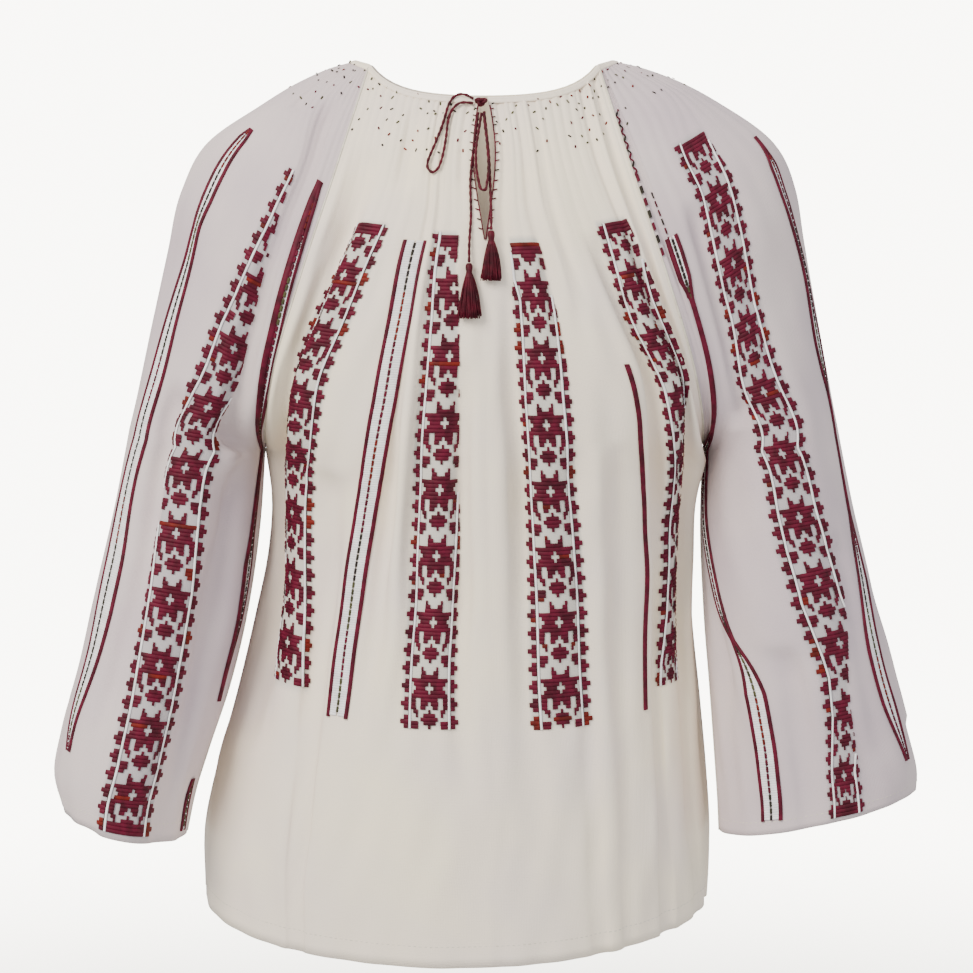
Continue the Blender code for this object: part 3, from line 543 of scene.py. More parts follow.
print("gathers are up to", GATHER["depth"].max(), "mm deep")

# %% [markdown]
# ## Laying the panels
#
# A grid of points holds each panel: across it run the cloth's own threads, and down it run the
# rows. Keeping the grid means that anything sewn on later can be placed in the cloth's own
# coordinates, so the embroidery goes into every fold just as the cloth does.

# %% A laid piece of cloth
def grid_normals(points, outward):
    """Unit normals of a grid of points, each row running across the cloth and each column down it."""
    normals = np.cross(np.gradient(points, axis=0), np.gradient(points, axis=1)) * outward
    return normals / np.maximum(np.linalg.norm(normals, axis=-1, keepdims=True), 1e-9)


def lay_cloth(rows, outward, drops, columns, width, gathers, seed):
    """A piece of cloth as a grid of outer points, with its outward directions and its own coordinates."""
    form, depth = np.array([r[0] for r in rows]), np.array([r[1] for r in rows])
    on_form = grid_normals(form, outward)
    points = form - depth[..., None] * on_form
    normals = grid_normals(points, outward)
    normals[:, 0], normals[:, -1] = on_form[:, 0], on_form[:, -1]
    from_edge = np.minimum(columns - columns.min(), columns.max() - columns)
    inside = np.clip(from_edge / 8, 0, 1)
    fine = gather_depths(drops, columns, width, gathers, seed) * np.maximum(inside, 0.25)
    dents = soft_dents(drops, columns, seed + 1) * inside
    dents *= np.clip((np.array(drops)[:, None] - 60) / 90, 0, 1)
    base = points
    points = base - (fine + dents + 0.25)[..., None] * normals
    final = grid_normals(points, outward)
    final[:, 0], final[:, -1] = normals[:, 0], normals[:, -1]
    down = np.concatenate([
        np.zeros((1, len(columns))), np.cumsum(np.linalg.norm(np.diff(points, axis=0), axis=-1), axis=0),
    ])
    inner = base - (fine.max(axis=1, keepdims=True) + dents + 0.25 + CLOTH)[..., None] * normals
    return {
        "points": points, "normals": final, "inner": inner, "base_normals": normals,
        "columns": columns, "down": down, "drops": np.array(drops),
    }


def join(one, one_at, other, other_at):
    """Gives two edges that meet at a seam one inward direction, unless they meet in a valley."""
    a, b = one["normals"][one_at], other["normals"][other_at]
    size = np.linalg.norm(a + b, axis=-1, keepdims=True)
    mean = (a + b) / np.maximum(size, 1e-9)
    one["normals"][one_at] = np.where(size > 1.3, mean, a)
    other["normals"][other_at] = np.where(size > 1.3, mean, b)


YOKE_ROWS = np.concatenate([
    np.arange(CLOTH_TOP_DROP, 60, 2.6), np.linspace(60, SLIT_END_DROP, 19)[:-1],
    np.linspace(SLIT_END_DROP, ARMPIT_DROP, 34),
])
SKIRT_ROWS = np.linspace(ARMPIT_DROP, HEM_DROP, 46)[1:]
FRONT_ROWS = np.concatenate([YOKE_ROWS, SKIRT_ROWS])
ARM_LEVELS = np.linspace(1, 2, 44)[1:]
GATHERS_HALF_FRONT = 18
GATHERS_BACK = 32
GATHERS_SLEEVE = 16
STEPS_PER_GATHER = 8

half_columns = np.linspace(0, PANEL_CUT / 2, GATHERS_HALF_FRONT * STEPS_PER_GATHER + 1)
front_low, front_high = (
    lay_cloth(
        [front_row(drop, side * half_columns, side) for drop in FRONT_ROWS],
        side, FRONT_ROWS, side * half_columns, PANEL_CUT, 2 * GATHERS_HALF_FRONT, 20,
    )
    for side in (-1, 1)
)
back_columns = np.linspace(-PANEL_CUT / 2, PANEL_CUT / 2, GATHERS_BACK * 7 + 1)
BACK_ROWS = np.concatenate([YOKE_ROWS, SKIRT_ROWS[1::2]])
back_cloth = lay_cloth(
    [back_row(drop, back_columns) for drop in BACK_ROWS],
    -1, BACK_ROWS, back_columns, PANEL_CUT, GATHERS_BACK, 30,
)
sleeve_columns = np.linspace(-SLEEVE_CUT / 2, SLEEVE_CUT / 2, GATHERS_SLEEVE * 11 + 1)
SLEEVE_LEVELS = np.concatenate([[yoke_share(drop) for drop in YOKE_ROWS], ARM_LEVELS])
SLEEVE_DROPS = NECK_DROP + SLEEVE_LEVELS * (ARMPIT_DROP - NECK_DROP)
sleeve_low, sleeve_high = (
    lay_cloth(
        [sleeve_row(level, sleeve_columns, side) for level in SLEEVE_LEVELS],
        side, SLEEVE_DROPS, sleeve_columns, SLEEVE_CUT, GATHERS_SLEEVE * 2, 41 + side,
    )
    for side in (-1, 1)
)
armpit = len(YOKE_ROWS) - 1
yoke, skirt = slice(0, armpit), slice(armpit, None)
slit_end = int(np.argmin(np.abs(YOKE_ROWS - SLIT_END_DROP)))
join(front_low, (slice(slit_end, None), 0), front_high, (slice(slit_end, None), 0))
for sleeve, half, back_edge in ((sleeve_low, front_low, 0), (sleeve_high, front_high, -1)):
    join(sleeve, (yoke, 0), half, (yoke, -1))
    join(sleeve, (yoke, -1), back_cloth, (yoke, back_edge))
    join(sleeve, (skirt, 0), sleeve, (skirt, -1))
for grid in (front_low, front_high, back_cloth, sleeve_low, sleeve_high):
    print("grid", grid["points"].shape[:2], "longest column", round(float(grid["down"][-1].max())), "mm")

# %% [markdown]
# ## Putting a mesh together
#
# Every piece below is worked out as arrays of points and faces, so one helper turns such arrays
# into an object, in millimetres. It also takes the cloth's own coordinates as a UV map, in metres
# of cloth, so that a weave keeps its real size wherever the cloth turns.

# %% A mesh from arrays
def add_piece(name, points, faces, materials, kinds=None, cloth_places=None):
    """An object from points in millimetres and arrays of faces. kinds numbers each face's material."""
    mesh = bpy.data.meshes.new(name)
    faces = [np.asarray(block, np.int32) for block in faces if len(block)]
    corners = np.concatenate([block.ravel() for block in faces])
    sizes = np.concatenate([np.full(len(block), block.shape[1]) for block in faces])
    mesh.vertices.add(len(points))
    mesh.vertices.foreach_set("co", (np.asarray(points, np.float32) * MM).ravel())
    mesh.loops.add(len(corners))
    mesh.loops.foreach_set("vertex_index", corners)
    mesh.polygons.add(len(sizes))
    mesh.polygons.foreach_set("loop_start", np.concatenate([[0], np.cumsum(sizes)[:-1]]).astype(np.int32))
    for made in materials:
        mesh.materials.append(made)
    if kinds is not None:
        mesh.polygons.foreach_set("material_index", np.asarray(kinds, np.int32))
    mesh.update(calc_edges=True)
    if cloth_places is not None:
        places = mesh.uv_layers.new(name="cloth")
        places.data.foreach_set("uv", (np.asarray(cloth_places, np.float32)[corners] * MM).ravel())
    mesh.shade_smooth()
    piece = bpy.data.objects.new(name, mesh)
    bpy.context.scene.collection.objects.link(piece)
    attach(piece, "root")
    return piece


def grid_quads(ids):
    """Faces between the points of a grid."""
    return np.stack([ids[:-1, :-1], ids[1:, :-1], ids[1:, 1:], ids[:-1, 1:]], axis=-1).reshape(-1, 4)


def tube(centres, radii, sides, twist=0.0, lobes=0.0):
    """Rings round a line of centres. Two lobes that turn with the line make a two-ply cord."""
    ahead = np.gradient(centres, axis=0)
    ahead /= np.linalg.norm(ahead, axis=1, keepdims=True)
    across = np.cross(ahead, np.array([0.0, 1.0, 0.0]))
    weak = np.linalg.norm(across, axis=1) < 0.05
    across[weak] = np.cross(ahead[weak], np.array([1.0, 0.0, 0.0]))
    across /= np.linalg.norm(across, axis=1, keepdims=True)
    up = np.cross(across, ahead)
    turn = np.linspace(0, 2 * math.pi, sides, endpoint=False)[None, :]
    spin = (lengths(centres) * twist)[:, None]
    size = np.asarray(radii).reshape(-1, 1) * (1 + lobes * np.cos(2 * (turn - spin)))
    round_it = np.cos(turn)[..., None] * across[:, None] + np.sin(turn)[..., None] * up[:, None]
    ring = size[..., None] * round_it
    points = (centres[:, None] + ring).reshape(-1, 3)
    ids = np.arange(len(points)).reshape(-1, sides)
    nxt = np.roll(ids, -1, axis=1)
    quads = np.stack([ids[:-1], nxt[:-1], nxt[1:], ids[1:]], axis=-1).reshape(-1, 4)
    caps = [[ids[0, 0], ids[0, k + 1], ids[0, k]] for k in range(1, sides - 1)]
    caps += [[ids[-1, 0], ids[-1, k], ids[-1, k + 1]] for k in range(1, sides - 1)]
    return points, quads, np.array(caps)


class Pile:
    """Gathers many small meshes into one, each with a material number and its places on the cloth."""

    def __init__(self):
        self.points, self.faces, self.kinds, self.places, self.count = [], [], [], [], 0

    def add(self, points, faces, kind, places=None):
        for block in faces:
            if len(block):
                self.faces.append(np.asarray(block) + self.count)
                self.kinds.append(np.full(len(block), kind))
        self.points.append(points)
        self.places.append(np.zeros((len(points), 2)) if places is None else places)
        self.count += len(points)

    def finish(self, name, materials):
        return add_piece(
            name, np.concatenate(self.points), self.faces, materials, np.concatenate(self.kinds),
            np.concatenate(self.places),
        )


print("mesh helpers ready")

# %% [markdown]
# ## Burgundy cord
#
# The drawstring is mercerised cotton thread, plied into a cord two millimetres thick. Plying gives
# it two rounded strands that wind round each other, and mercerising gives it a soft shine. A coat
# of fine diagonal lines would do from afar, but here the two strands are in the mesh itself, so
# that the cord also has the right broken outline. The colour wanders a little, as dyed thread does.

# %% Thread materials
def thread_material(name, colour, shade, roughness, ply_mm):
    """Dyed, mercerised cotton: a colour with a darker shade in it, fine fibres and a soft sheen."""
    made = bpy.data.materials.new(name)
    made.use_nodes = True
    shader = made.node_tree.nodes["Principled BSDF"]
    where = add_node(made, "ShaderNodeTexCoord")
    wander = add_node(
        made, "ShaderNodeTexNoise", {"Vector": where.outputs["Object"], "Scale": 140.0, "Detail": 3.0}
    )
    fibres = add_node(
        made, "ShaderNodeTexNoise",
        {"Vector": where.outputs["Object"], "Scale": 1 / (ply_mm * MM), "Detail": 2.0, "Roughness": 0.6},
    )
    amount = add_node(
        made, "ShaderNodeMapRange",
        {"Value": wander.outputs["Fac"], "From Min": 0.36, "From Max": 0.66, "To Min": 0.0, "To Max": 1.0},
    )
    ramp = add_node(made, "ShaderNodeValToRGB", {"Fac": amount.outputs["Result"]})
    ramp.color_ramp.elements[0].color = linear(colour)
    ramp.color_ramp.elements[1].color = linear(shade)
    bump = add_node(
        made, "ShaderNodeBump", {"Height": fibres.outputs["Fac"], "Strength": 0.35, "Distance": 0.0003}
    )
    made.node_tree.links.new(ramp.outputs["Color"], shader.inputs["Base Color"])
    made.node_tree.links.new(bump.outputs["Normal"], shader.inputs["Normal"])
    shader.inputs["Roughness"].default_value = roughness
    shader.inputs["IOR"].default_value = 1.53
    shader.inputs["Specular IOR Level"].default_value = 0.18
    shader.inputs["Sheen Weight"].default_value = 0.1
    shader.inputs["Sheen Roughness"].default_value = 0.4
    shader.inputs["Sheen Tint"].default_value = linear(colour)
    return made


burgundy_cord = thread_material("mercerised_burgundy_cord", "#54091F", "#360614", 0.55, 0.5)
print(burgundy_cord.name)

# %% [markdown]
# ## The drawstring's route
#
# The ends of the drawstring come out of the neck binding at the slit, and are tied in a bow. The
# four stretches of cord follow given routes, each a short list of places in x and z. The cord
# lies on the cloth behind it, so its depth comes from the form.

# %% Cord routes
CORD = 2.0
LIFT = 0.4
END_LIFT = 2.4
END_GAP = 0.5
BINDING_PROUD = 0.6
BINDING_DEPTH = 2.2
KNOT_PLACE = (-2.0, -29.5)
KNOT_SIZE = (9.0, 6.0, 7.0)
LONG_END = (
    (-4.0, -37.0), (-5.2, -47.0), (-7.2, -62.0), (-9.2, -83.0), (-8.8, -106.0), (-9.9, -125.0),
    (-10.0, -138.0),
)
SHORT_END = ((0.2, -36.5), (1.4, -47.0), (3.4, -66.0), (4.4, -88.0), (5.0, -105.0), (5.0, -116.0))
WIDE_LOOP = (
    (-7.4, -27.5), (-13.5, -24.4), (-20.0, -25.6), (-24.4, -32.0), (-28.6, -45.5), (-33.6, -58.5),
    (-38.0, -69.0),
    (-38.6, -74.0), (-35.8, -77.4), (-31.6, -75.2), (-28.4, -67.0), (-26.0, -54.0), (-24.8, -44.0),
    (-22.2, -35.6),
    (-17.0, -30.6), (-11.6, -30.0), (-7.4, -30.6),
)
NARROW_LOOP = (
    (-1.6, -37.4), (-3.4, -48.0), (-5.4, -62.0), (-5.0, -76.0), (-2.6, -87.0), (-0.4, -90.4),
    (1.6, -87.4), (3.2, -75.0), (2.4, -60.0), (0.8, -46.0), (-0.2, -37.4),
)
FORM = np.concatenate([panel_line(drop, True)[0] for drop in np.linspace(NECK_DROP, 220, 160)])


def on_cloth(x, z, lift):
    """The point at this x and z that lies in front of the cloth by lift."""
    away = (FORM[:, 0] - x) ** 2 + (FORM[:, 2] - z) ** 2
    nearest = np.argsort(away)[:4]
    weight = 1 / (away[nearest] + 0.01)
    return np.array([x, float((FORM[nearest, 1] * weight).sum() / weight.sum()) - lift, z])


def smooth_route(points, spacing):
    """Evenly spaced points on a smooth curve through a route's own points."""
    points = np.array(points, float)
    padded = np.concatenate([[2 * points[0] - points[1]], points, [2 * points[-1] - points[-2]]])
    t = np.linspace(0, 1, 12, endpoint=False)[:, None]
    stretches = [
        0.5 * (2 * b + (c - a) * t + (2 * a - 5 * b + 4 * c - d) * t**2 + (3 * b - a - 3 * c + d) * t**3)
        for a, b, c, d in zip(padded, padded[1:], padded[2:], padded[3:])
    ]
    dense = np.concatenate([*stretches, points[-1:]])
    count = max(int(lengths(dense)[-1] / spacing), 4)
    return at_lengths(dense, np.linspace(0, lengths(dense)[-1], count + 1))


def cord_points(route, lift, end_lift):
    """A route over the cloth that leaves it for end_lift in its last third."""
    rise = np.clip((np.arange(len(route)) / (len(route) - 1) - 0.6) / 0.4, 0, 1)
    return smooth_route(
        [on_cloth(x, z, away) for (x, z), away in zip(route, lift + (end_lift - lift) * rise)], 2.4 * CORD
    )


lift = CORD / 2 + LIFT
in_front = lift + CORD + LIFT
cord_lines = {
    "cord_loop_wide": cord_points(WIDE_LOOP, lift + BINDING_PROUD, lift + BINDING_PROUD),
    "cord_loop_narrow": cord_points(NARROW_LOOP, in_front, in_front),
    "cord_end_long": cord_points(LONG_END, lift, CORD / 2 + END_LIFT),
    "cord_end_short": cord_points(SHORT_END, lift, CORD / 2 + END_LIFT),
}
for name, line in cord_lines.items():
    print(name, round(float(lengths(line)[-1]), 1), "mm")

# %% Two-ply cord
PLY_PITCH = 5.2
for name, line in cord_lines.items():
    fine = smooth_route(line, 0.42)
    points, quads, caps = tube(fine, CORD / 2 * 0.92, 14, 2 * math.pi / PLY_PITCH / 2, 0.16)
    add_piece(name + "_plied", points, [quads, caps], [burgundy_cord])
    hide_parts(name)
long_end = float(lengths(cord_lines["cord_end_long"])[-1])
print("turns of the ply on the long end:", round(long_end / PLY_PITCH))

# %% [markdown]
# ## The knot
#
# Where the cord is tied it makes a tight little knot. A ball would look like a bead, so the knot is
# a short length of the same cord that runs through itself on a trefoil, the simplest curve that is
# really knotted, squeezed into the knot's own box.

# %% A tied knot
turn = np.linspace(0, 2 * math.pi, 181)[:-1]
trefoil = np.stack([
    np.sin(turn) + 2 * np.sin(2 * turn), -np.sin(3 * turn), np.cos(turn) - 2 * np.cos(2 * turn),
], axis=-1)
trefoil /= np.abs(trefoil).max(axis=0)
knot_x, knot_z = KNOT_PLACE
knot_centre = on_cloth(knot_x, knot_z, BINDING_PROUD + END_GAP + KNOT_SIZE[1] / 2)
knot_radius = 1.25
inside_box = np.array(KNOT_SIZE) / 2 - knot_radius
knot_line = knot_centre + trefoil[np.arange(181) % 180] * inside_box
points, quads, caps = tube(knot_line, knot_radius, 12, 2 * math.pi / PLY_PITCH / 2, 0.12)
knot = add_piece("drawstring_knot_tied", points, [quads, caps], [burgundy_cord])
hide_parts("drawstring_knot")
print("knot", KNOT_SIZE, "mm")

# %% [markdown]
# ## Tassels
#
# A tassel is a bundle of threads that is folded over the cord, bound below the fold with a few
# turns of the same thread, and cut level. Each of its threads is made as a thin strand of its own,
# because the cut ends and the gaps between threads are what tell a tassel from a brush. The
# strands start inside the binding, and fan out a little more at the sides than in front.

# %% Tassels
TASSEL_NECK = 2.2
TASSEL_HEAD = 8.0
TASSELS = {"tassel_long": (29.5, 9.0, 5.0), "tassel_short": (26.0, 8.0, 4.6)}
THREADS = 210


def add_tassel(name, top, skirt, half_width, half_depth, seed):
    random = np.random.default_rng(seed)
    pile = Pile()
    lean = (on_cloth(top[0], top[2] - TASSEL_HEAD - skirt, 0)[1] - half_depth - LIFT) - top[1]

    def place(points):
        return points + [0, 1, 0] * (lean * points[:, 2:] / -(TASSEL_HEAD + skirt)) + top

    down = np.linspace(0, TASSEL_HEAD + 1.5, 60)
    bound = np.interp(down, (0, 0.7, 2.2, 4.0, 5.6, 6.6, 9.5), (0.55, 0.95, 1.12, 1.1, 0.92, 0.95, 1.2))
    wraps = 1 + 0.05 * np.cos(2 * math.pi * down / 0.62) * ((down > 4.4) & (down < 7.2))
    head = np.stack([0 * down, 0 * down, -down], axis=-1)
    points, quads, caps = tube(head, TASSEL_NECK * bound * wraps, 24)
    pile.add(place(points), [quads, caps], 0)
    for _ in range(THREADS):
        angle, reach = random.uniform(0, 2 * math.pi), math.sqrt(random.uniform(0.0, 1.0))
        end_x = half_width * reach * math.cos(angle) * 0.94
        end_y = half_depth * reach * math.sin(angle) * 0.9
        root_x, root_y = (TASSEL_NECK * 0.85 * reach * f(angle) for f in (math.cos, math.sin))
        length = skirt * random.uniform(0.9, 1.0)
        sway_x, sway_y = random.normal(0, 0.35, 2)
        t = np.linspace(0, 1, 9)
        open_out = t**0.8
        line = np.stack([
            root_x + (end_x - root_x) * open_out + sway_x * np.sin(math.pi * t) * 1.3,
            root_y + (end_y - root_y) * open_out + sway_y * np.sin(math.pi * t),
            -(TASSEL_HEAD - 1.2) - (length + 1.2) * t,
        ], axis=-1)
        points, quads, caps = tube(line, 0.34 * np.linspace(1.0, 0.82, 9), 4)
        pile.add(place(points), [quads, caps], 0)
    piece = pile.finish(name + "_threads", [burgundy_cord])
    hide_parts(name)
    return piece


tassels = {}
for name, cord_name, seed in (("tassel_long", "cord_end_long", 3), ("tassel_short", "cord_end_short", 4)):
    top = cord_lines[cord_name][-1] - [0, 0, END_GAP]
    tassels[name] = add_tassel(name, top, *TASSELS[name], seed)
    print(name, len(tassels[name].data.polygons), "faces")

# %% Reading the cords' lines
for name, far_end, extra in (
    ("cord_loop_wide", "object", []), ("cord_loop_narrow", "object", []),
    ("cord_end_long", "knot", [tassels["tassel_long"]]),
    ("cord_end_short", "knot", [tassels["tassel_short"]]),
):
    line = cord_lines[name]

# %% [markdown]
# ## Where the stripes lie
#
# The embroidery of an ie is worked before the pieces are gathered, straight along the threads of
# the cloth. So each stripe follows one lengthwise thread, and here that thread is the top of a
# fold. The cloth beside it is sampled again every half millimetre, measured along the cloth, which
# gives each stripe a little map of its own: so far across, so far down.

# %% A stripe's own surface
# Every stitch stands this far off the cloth, so that a sharp fold doesn't swallow it.
STAND = 0.6
ACROSS = np.linspace(-32, 32, 129)


def stripe_surface(cloth, thread, turn=1):
    """The cloth on both sides of one lengthwise thread. With turn -1 it is read from its far side."""
    columns = cloth["columns"] * turn
    order = np.argsort(columns)
    places = np.arange(len(order))
    points, normals = cloth["points"][:, order], cloth["normals"][:, order]
    centre = np.interp(thread * turn, columns[order], places)
    steps = np.linalg.norm(np.diff(points, axis=1), axis=-1)
    along_row = np.concatenate([np.zeros((len(points), 1)), np.cumsum(steps, axis=1)], axis=1)
    beside = along_row - np.array([np.interp(centre, places, row) for row in along_row])[:, None]
    sheet = []
    for r in range(len(points)):
        at = np.interp(ACROSS, beside[r], places)
        low = np.minimum(at.astype(int), len(order) - 2)
        part = (at - low)[:, None]
        both = np.concatenate([points[r], normals[r]], axis=-1)
        sheet.append(both[low] * (1 - part) + both[low + 1] * part)
    sheet = np.array(sheet)
    ground = np.zeros_like(beside)
    ground[:, order] = beside
    return {
        "sheet": sheet, "down": lengths(sheet[:, len(ACROSS) // 2, :3]),
        "drops": cloth["drops"], "beside": ground,
    }


def on_stripe(surface, across, down, lift):
    """Points that stand above the cloth, at places across and down a stripe."""
    sheet, rows = surface["sheet"], len(surface["down"])
    across, down, lift = np.broadcast_arrays(across, down, lift)
    row = np.clip(np.interp(down, surface["down"], np.arange(rows)), 0, rows - 1.001)
    column = np.clip((across - ACROSS[0]) / (ACROSS[1] - ACROSS[0]), 0, len(ACROSS) - 1.001)
    r, c = row.astype(int), column.astype(int)
    t, s = (row - r)[..., None], (column - c)[..., None]
    mixed = (1 - t) * ((1 - s) * sheet[r, c] + s * sheet[r, c + 1])
    mixed += t * ((1 - s) * sheet[r + 1, c] + s * sheet[r + 1, c + 1])
    out = mixed[..., 3:] / np.maximum(np.linalg.norm(mixed[..., 3:], axis=-1, keepdims=True), 1e-6)
    return mixed[..., :3] + (lift + STAND)[..., None] * out


sample = stripe_surface(front_low, -46)
print("the first stripe's thread is", round(float(sample["down"][-1])), "mm long")

# %% [markdown]
# ## Embroidery threads
#
# The stripes are worked in stranded cotton: nearly all in a deep burgundy, with a few stitches in
# an orange red where another skein was used, white for the satin stitch and the straight lines,
# and very dark thread for the small accents. Stranded cotton is loosely twisted and mercerised, so
# it is smoother and catches more light than the cloth, but it isn't glossy. Its strands are 0.4 mm
# thick, and their grain is drawn at 0.9 mm so that it shows.

# %% Embroidery materials
FLOSS_STRAND = 0.9
flosses = [
    thread_material("stranded_cotton_burgundy", "#5C0A27", "#3E0618", 0.6, FLOSS_STRAND),
    thread_material("stranded_cotton_orange_red", "#701A12", "#4C100C", 0.6, FLOSS_STRAND),
    thread_material("stranded_cotton_white", "#F1F0F3", "#DDDCE0", 0.6, FLOSS_STRAND),
    thread_material("stranded_cotton_near_black", "#1D1217", "#2B2A1E", 0.6, FLOSS_STRAND),
    thread_material("stranded_cotton_olive", "#4A4A2C", "#333322", 0.6, FLOSS_STRAND),
    thread_material("stranded_cotton_cream", "#DED9CB", "#C9C3B4", 0.7, FLOSS_STRAND),
]
BURGUNDY, ORANGE, WHITE, BLACK, OLIVE, CREAM = range(6)
print([floss.name for floss in flosses])

# %% [markdown]
# ## Stitches
#
# Satin stitch fills a shape with threads laid side by side, so each filled row of the chart becomes
# a low rounded bar. A picture painted on the cloth would stay flat where light grazes it. Real bars
# of thread stand out from the cloth, throw small shadows and follow every fold, so they are meshes
# here: a bar across the stripe, a thread laid down the stripe, and a single short stitch.

# %% Bars, laid threads and short stitches
ROUND = np.array([(-0.56, -0.2), (-0.5, 0.5), (-0.2, 0.97), (0.2, 0.97), (0.5, 0.5), (0.56, -0.2)])


def satin_bar(pile, surface, kind, left, right, down, height, lift):
    """A bar of satin stitch across a stripe, from left to right, at one place down."""
    stations = max(int((right - left) / 4.0) + 2, 3)
    across = np.linspace(left, right, stations)
    full = np.ones(stations)
    full[[0, -1]] = 0.45
    points = on_stripe(
        surface, across[:, None], down + height * ROUND[None, :, 0], lift * full[:, None] * ROUND[None, :, 1]
    )
    ids = np.arange(points.shape[0] * points.shape[1]).reshape(points.shape[:2])
    pile.add(points.reshape(-1, 3), [grid_quads(ids)[:, ::-1]], kind)


def laid_thread(pile, surface, kind, across, down, width, lift):
    """A thread laid down a stripe. across and down give its places."""
    points = on_stripe(
        surface, across[:, None] + width * ROUND[None, :, 0], down[:, None], lift * ROUND[None, :, 1]
    )
    ids = np.arange(points.shape[0] * points.shape[1]).reshape(points.shape[:2])
    pile.add(points.reshape(-1, 3), [grid_quads(ids)], kind)


def short_stitch(pile, kind, start, end, out, width, lift):
    """One short stitch from a point to another, standing out from the cloth."""
    side = np.cross(end - start, out)
    side /= max(float(np.linalg.norm(side)), 1e-6)
    along = np.array([0, 0.2, 0.8, 1])
    full = np.array([0.2, 1, 1, 0.2])
    centre = start + along[:, None] * (end - start)
    across = np.array([-0.5, 0, 0.5])[None, :, None] * width * (0.5 + 0.5 * full)[:, None, None] * side
    rise = (full[:, None] * np.array([0, 1, 0])[None] * lift - 0.1)[..., None] * out
    ids = np.arange(12).reshape(4, 3)
    pile.add((centre[:, None] + across + rise).reshape(-1, 3), [grid_quads(ids)[:, ::-1]], kind)


def stretches(shown):
    """The runs of steps that show, as index arrays."""
    edges = np.flatnonzero(np.diff(np.concatenate([[0], shown.astype(int), [0]])))
    return [np.arange(a, b) for a, b in zip(edges[::2], edges[1::2]) if b - a > 1]


print("stitch helpers ready")

# %% [markdown]
# ## The wide bands
#
# A wide band repeats one counted chart: an eight-pointed star with a small light cross at its
# heart, a hooked frame below it, and a diamond between two corners. Stars, hooks and diamonds like
# these are common property of counted-thread work. One repeat is 46 mm of 17 rows. On both sides
# runs a straight white line, and outside it a row of little three-lobed knots. Where a fold hides
# one side of a band, the table says how much of its width is left to see.

# %% The chart
CHART = (
    "....#.....#....", "....##...##....", "....#######....", "###############", ".######.######.",
    "..####...####..", ".######.######.", "###############", "##..#######..##", "##..###.###..##",
    "##..##...##..##", ".##....#....##.", "..#..#####..#..", "....#######....", "###..#####..###",
    "###....#....###", "##...........##",
)
STITCH_ROW = 2.7
STITCH_COLUMN = 1.9
FIELD_HALF = len(CHART[0]) * STITCH_COLUMN / 2
LINE_AT = 15.3
# A near-black thread just outside each white line is painted shadow of the raised white line.
SHADOW_LINE_AT = 16.3
KNOT_ROW = 3.1
KNOT_FROM = 16.6
KNOT_BARS = (20.4, 23.0, 20.4, None)
LAST_CHART_ROW = 15
SOLID_ROWS = 3
FLOSS_LIFT = 0.75
UNEVEN = 0.12


def chart_runs(row):
    """The filled runs of a chart row, as distances from the band's middle."""
    filled = np.array([cell == "#" for cell in row])
    edges = np.flatnonzero(np.diff(np.concatenate([[0], filled.astype(int), [0]])))
    places = edges * STITCH_COLUMN - FIELD_HALF
    return list(zip(places[::2], places[1::2]))


CHART_RUNS = [chart_runs(row) for row in CHART]
WHOLE_ROW = [(-FIELD_HALF, FIELD_HALF)]
print(sum(map(len, CHART_RUNS)), "bars in each repeat of", len(CHART) * STITCH_ROW, "mm")

# %% Working a band
def work_band(pile, surface, rows, seed, solid_end=False):
    """One wide band. Its table gives its half width on the cloth and which part of it shows."""
    random = np.random.default_rng(seed)
    start, end = np.interp(rows["drop"][[0, -1]], surface["drops"], surface["down"])

    def shape(down):
        drop = np.interp(down, surface["down"], surface["drops"])
        half, left, right = (np.interp(drop, rows["drop"], rows[name]) for name in ("half", "left", "right"))
        return left, right, lambda x: -half + (x - left) / (right - left) * 2 * half

    def bar(down, a, b, kind, height):
        left, right, place = shape(down)
        a, b = max(a, left), min(b, right)
        if b - a > 0.7:
            a, b = place(np.array([a, b])) + random.normal(0, UNEVEN, 2)
            satin_bar(pile, surface, kind, a, b, down, height, FLOSS_LIFT)

    count = int((end - start) / STITCH_ROW)
    for k in range(count):
        down = end - (k + 0.5) * STITCH_ROW
        solid = k >= count - SOLID_ROWS or (solid_end and k < SOLID_ROWS)
        near_top = k >= count - SOLID_ROWS - 1
        for a, b in WHOLE_ROW if solid else CHART_RUNS[(LAST_CHART_ROW - k) % len(CHART)]:
            kind = ORANGE if random.random() < (0.16 if near_top else 0.025) else BURGUNDY
            bar(down, a, b, kind, STITCH_ROW * 0.96)
    for j in range(int((end - start) / KNOT_ROW)):
        down = end - (j + 0.5) * KNOT_ROW
        reach = KNOT_BARS[j % 4]
        for side in (-1, 1):
            if j % 4 == 0:
                orange = random.random() < 0.12
                knot_kind = ORANGE if orange else BURGUNDY
            if reach:
                inner, outer = side * KNOT_FROM, side * reach
                bar(down, min(inner, outer), max(inner, outer), knot_kind, KNOT_ROW * 0.96)
    steps = np.linspace(start, end, int((end - start) / 3) + 2)
    left, right, place = shape(steps)
    # The white lines, then outside each a near-black thread that is painted shadow of the white line.
    for at, kind, width, lift in (
        (-LINE_AT, WHITE, 1.5, 0.6), (LINE_AT, WHITE, 1.5, 0.6),
        (-SHADOW_LINE_AT, BLACK, 0.55, 0.4), (SHADOW_LINE_AT, BLACK, 0.55, 0.4),
    ):
        across = place(at)
        for run in stretches((at > left + 1) & (at < right - 1)):
            laid_thread(pile, surface, kind, across[run], steps[run], width, lift)
    # The returned mask says where the band lies on the cloth; the cloth is painted with shade there.
    drops = surface["drops"][:, None]
    half = np.interp(drops, rows["drop"], rows["half"])
    within = np.clip((half - np.abs(surface["beside"])) / 2, 0, 1)
    return within * (drops >= rows["drop"][0]) * (drops <= rows["drop"][-1])


print("knots every", 4 * KNOT_ROW, "mm")

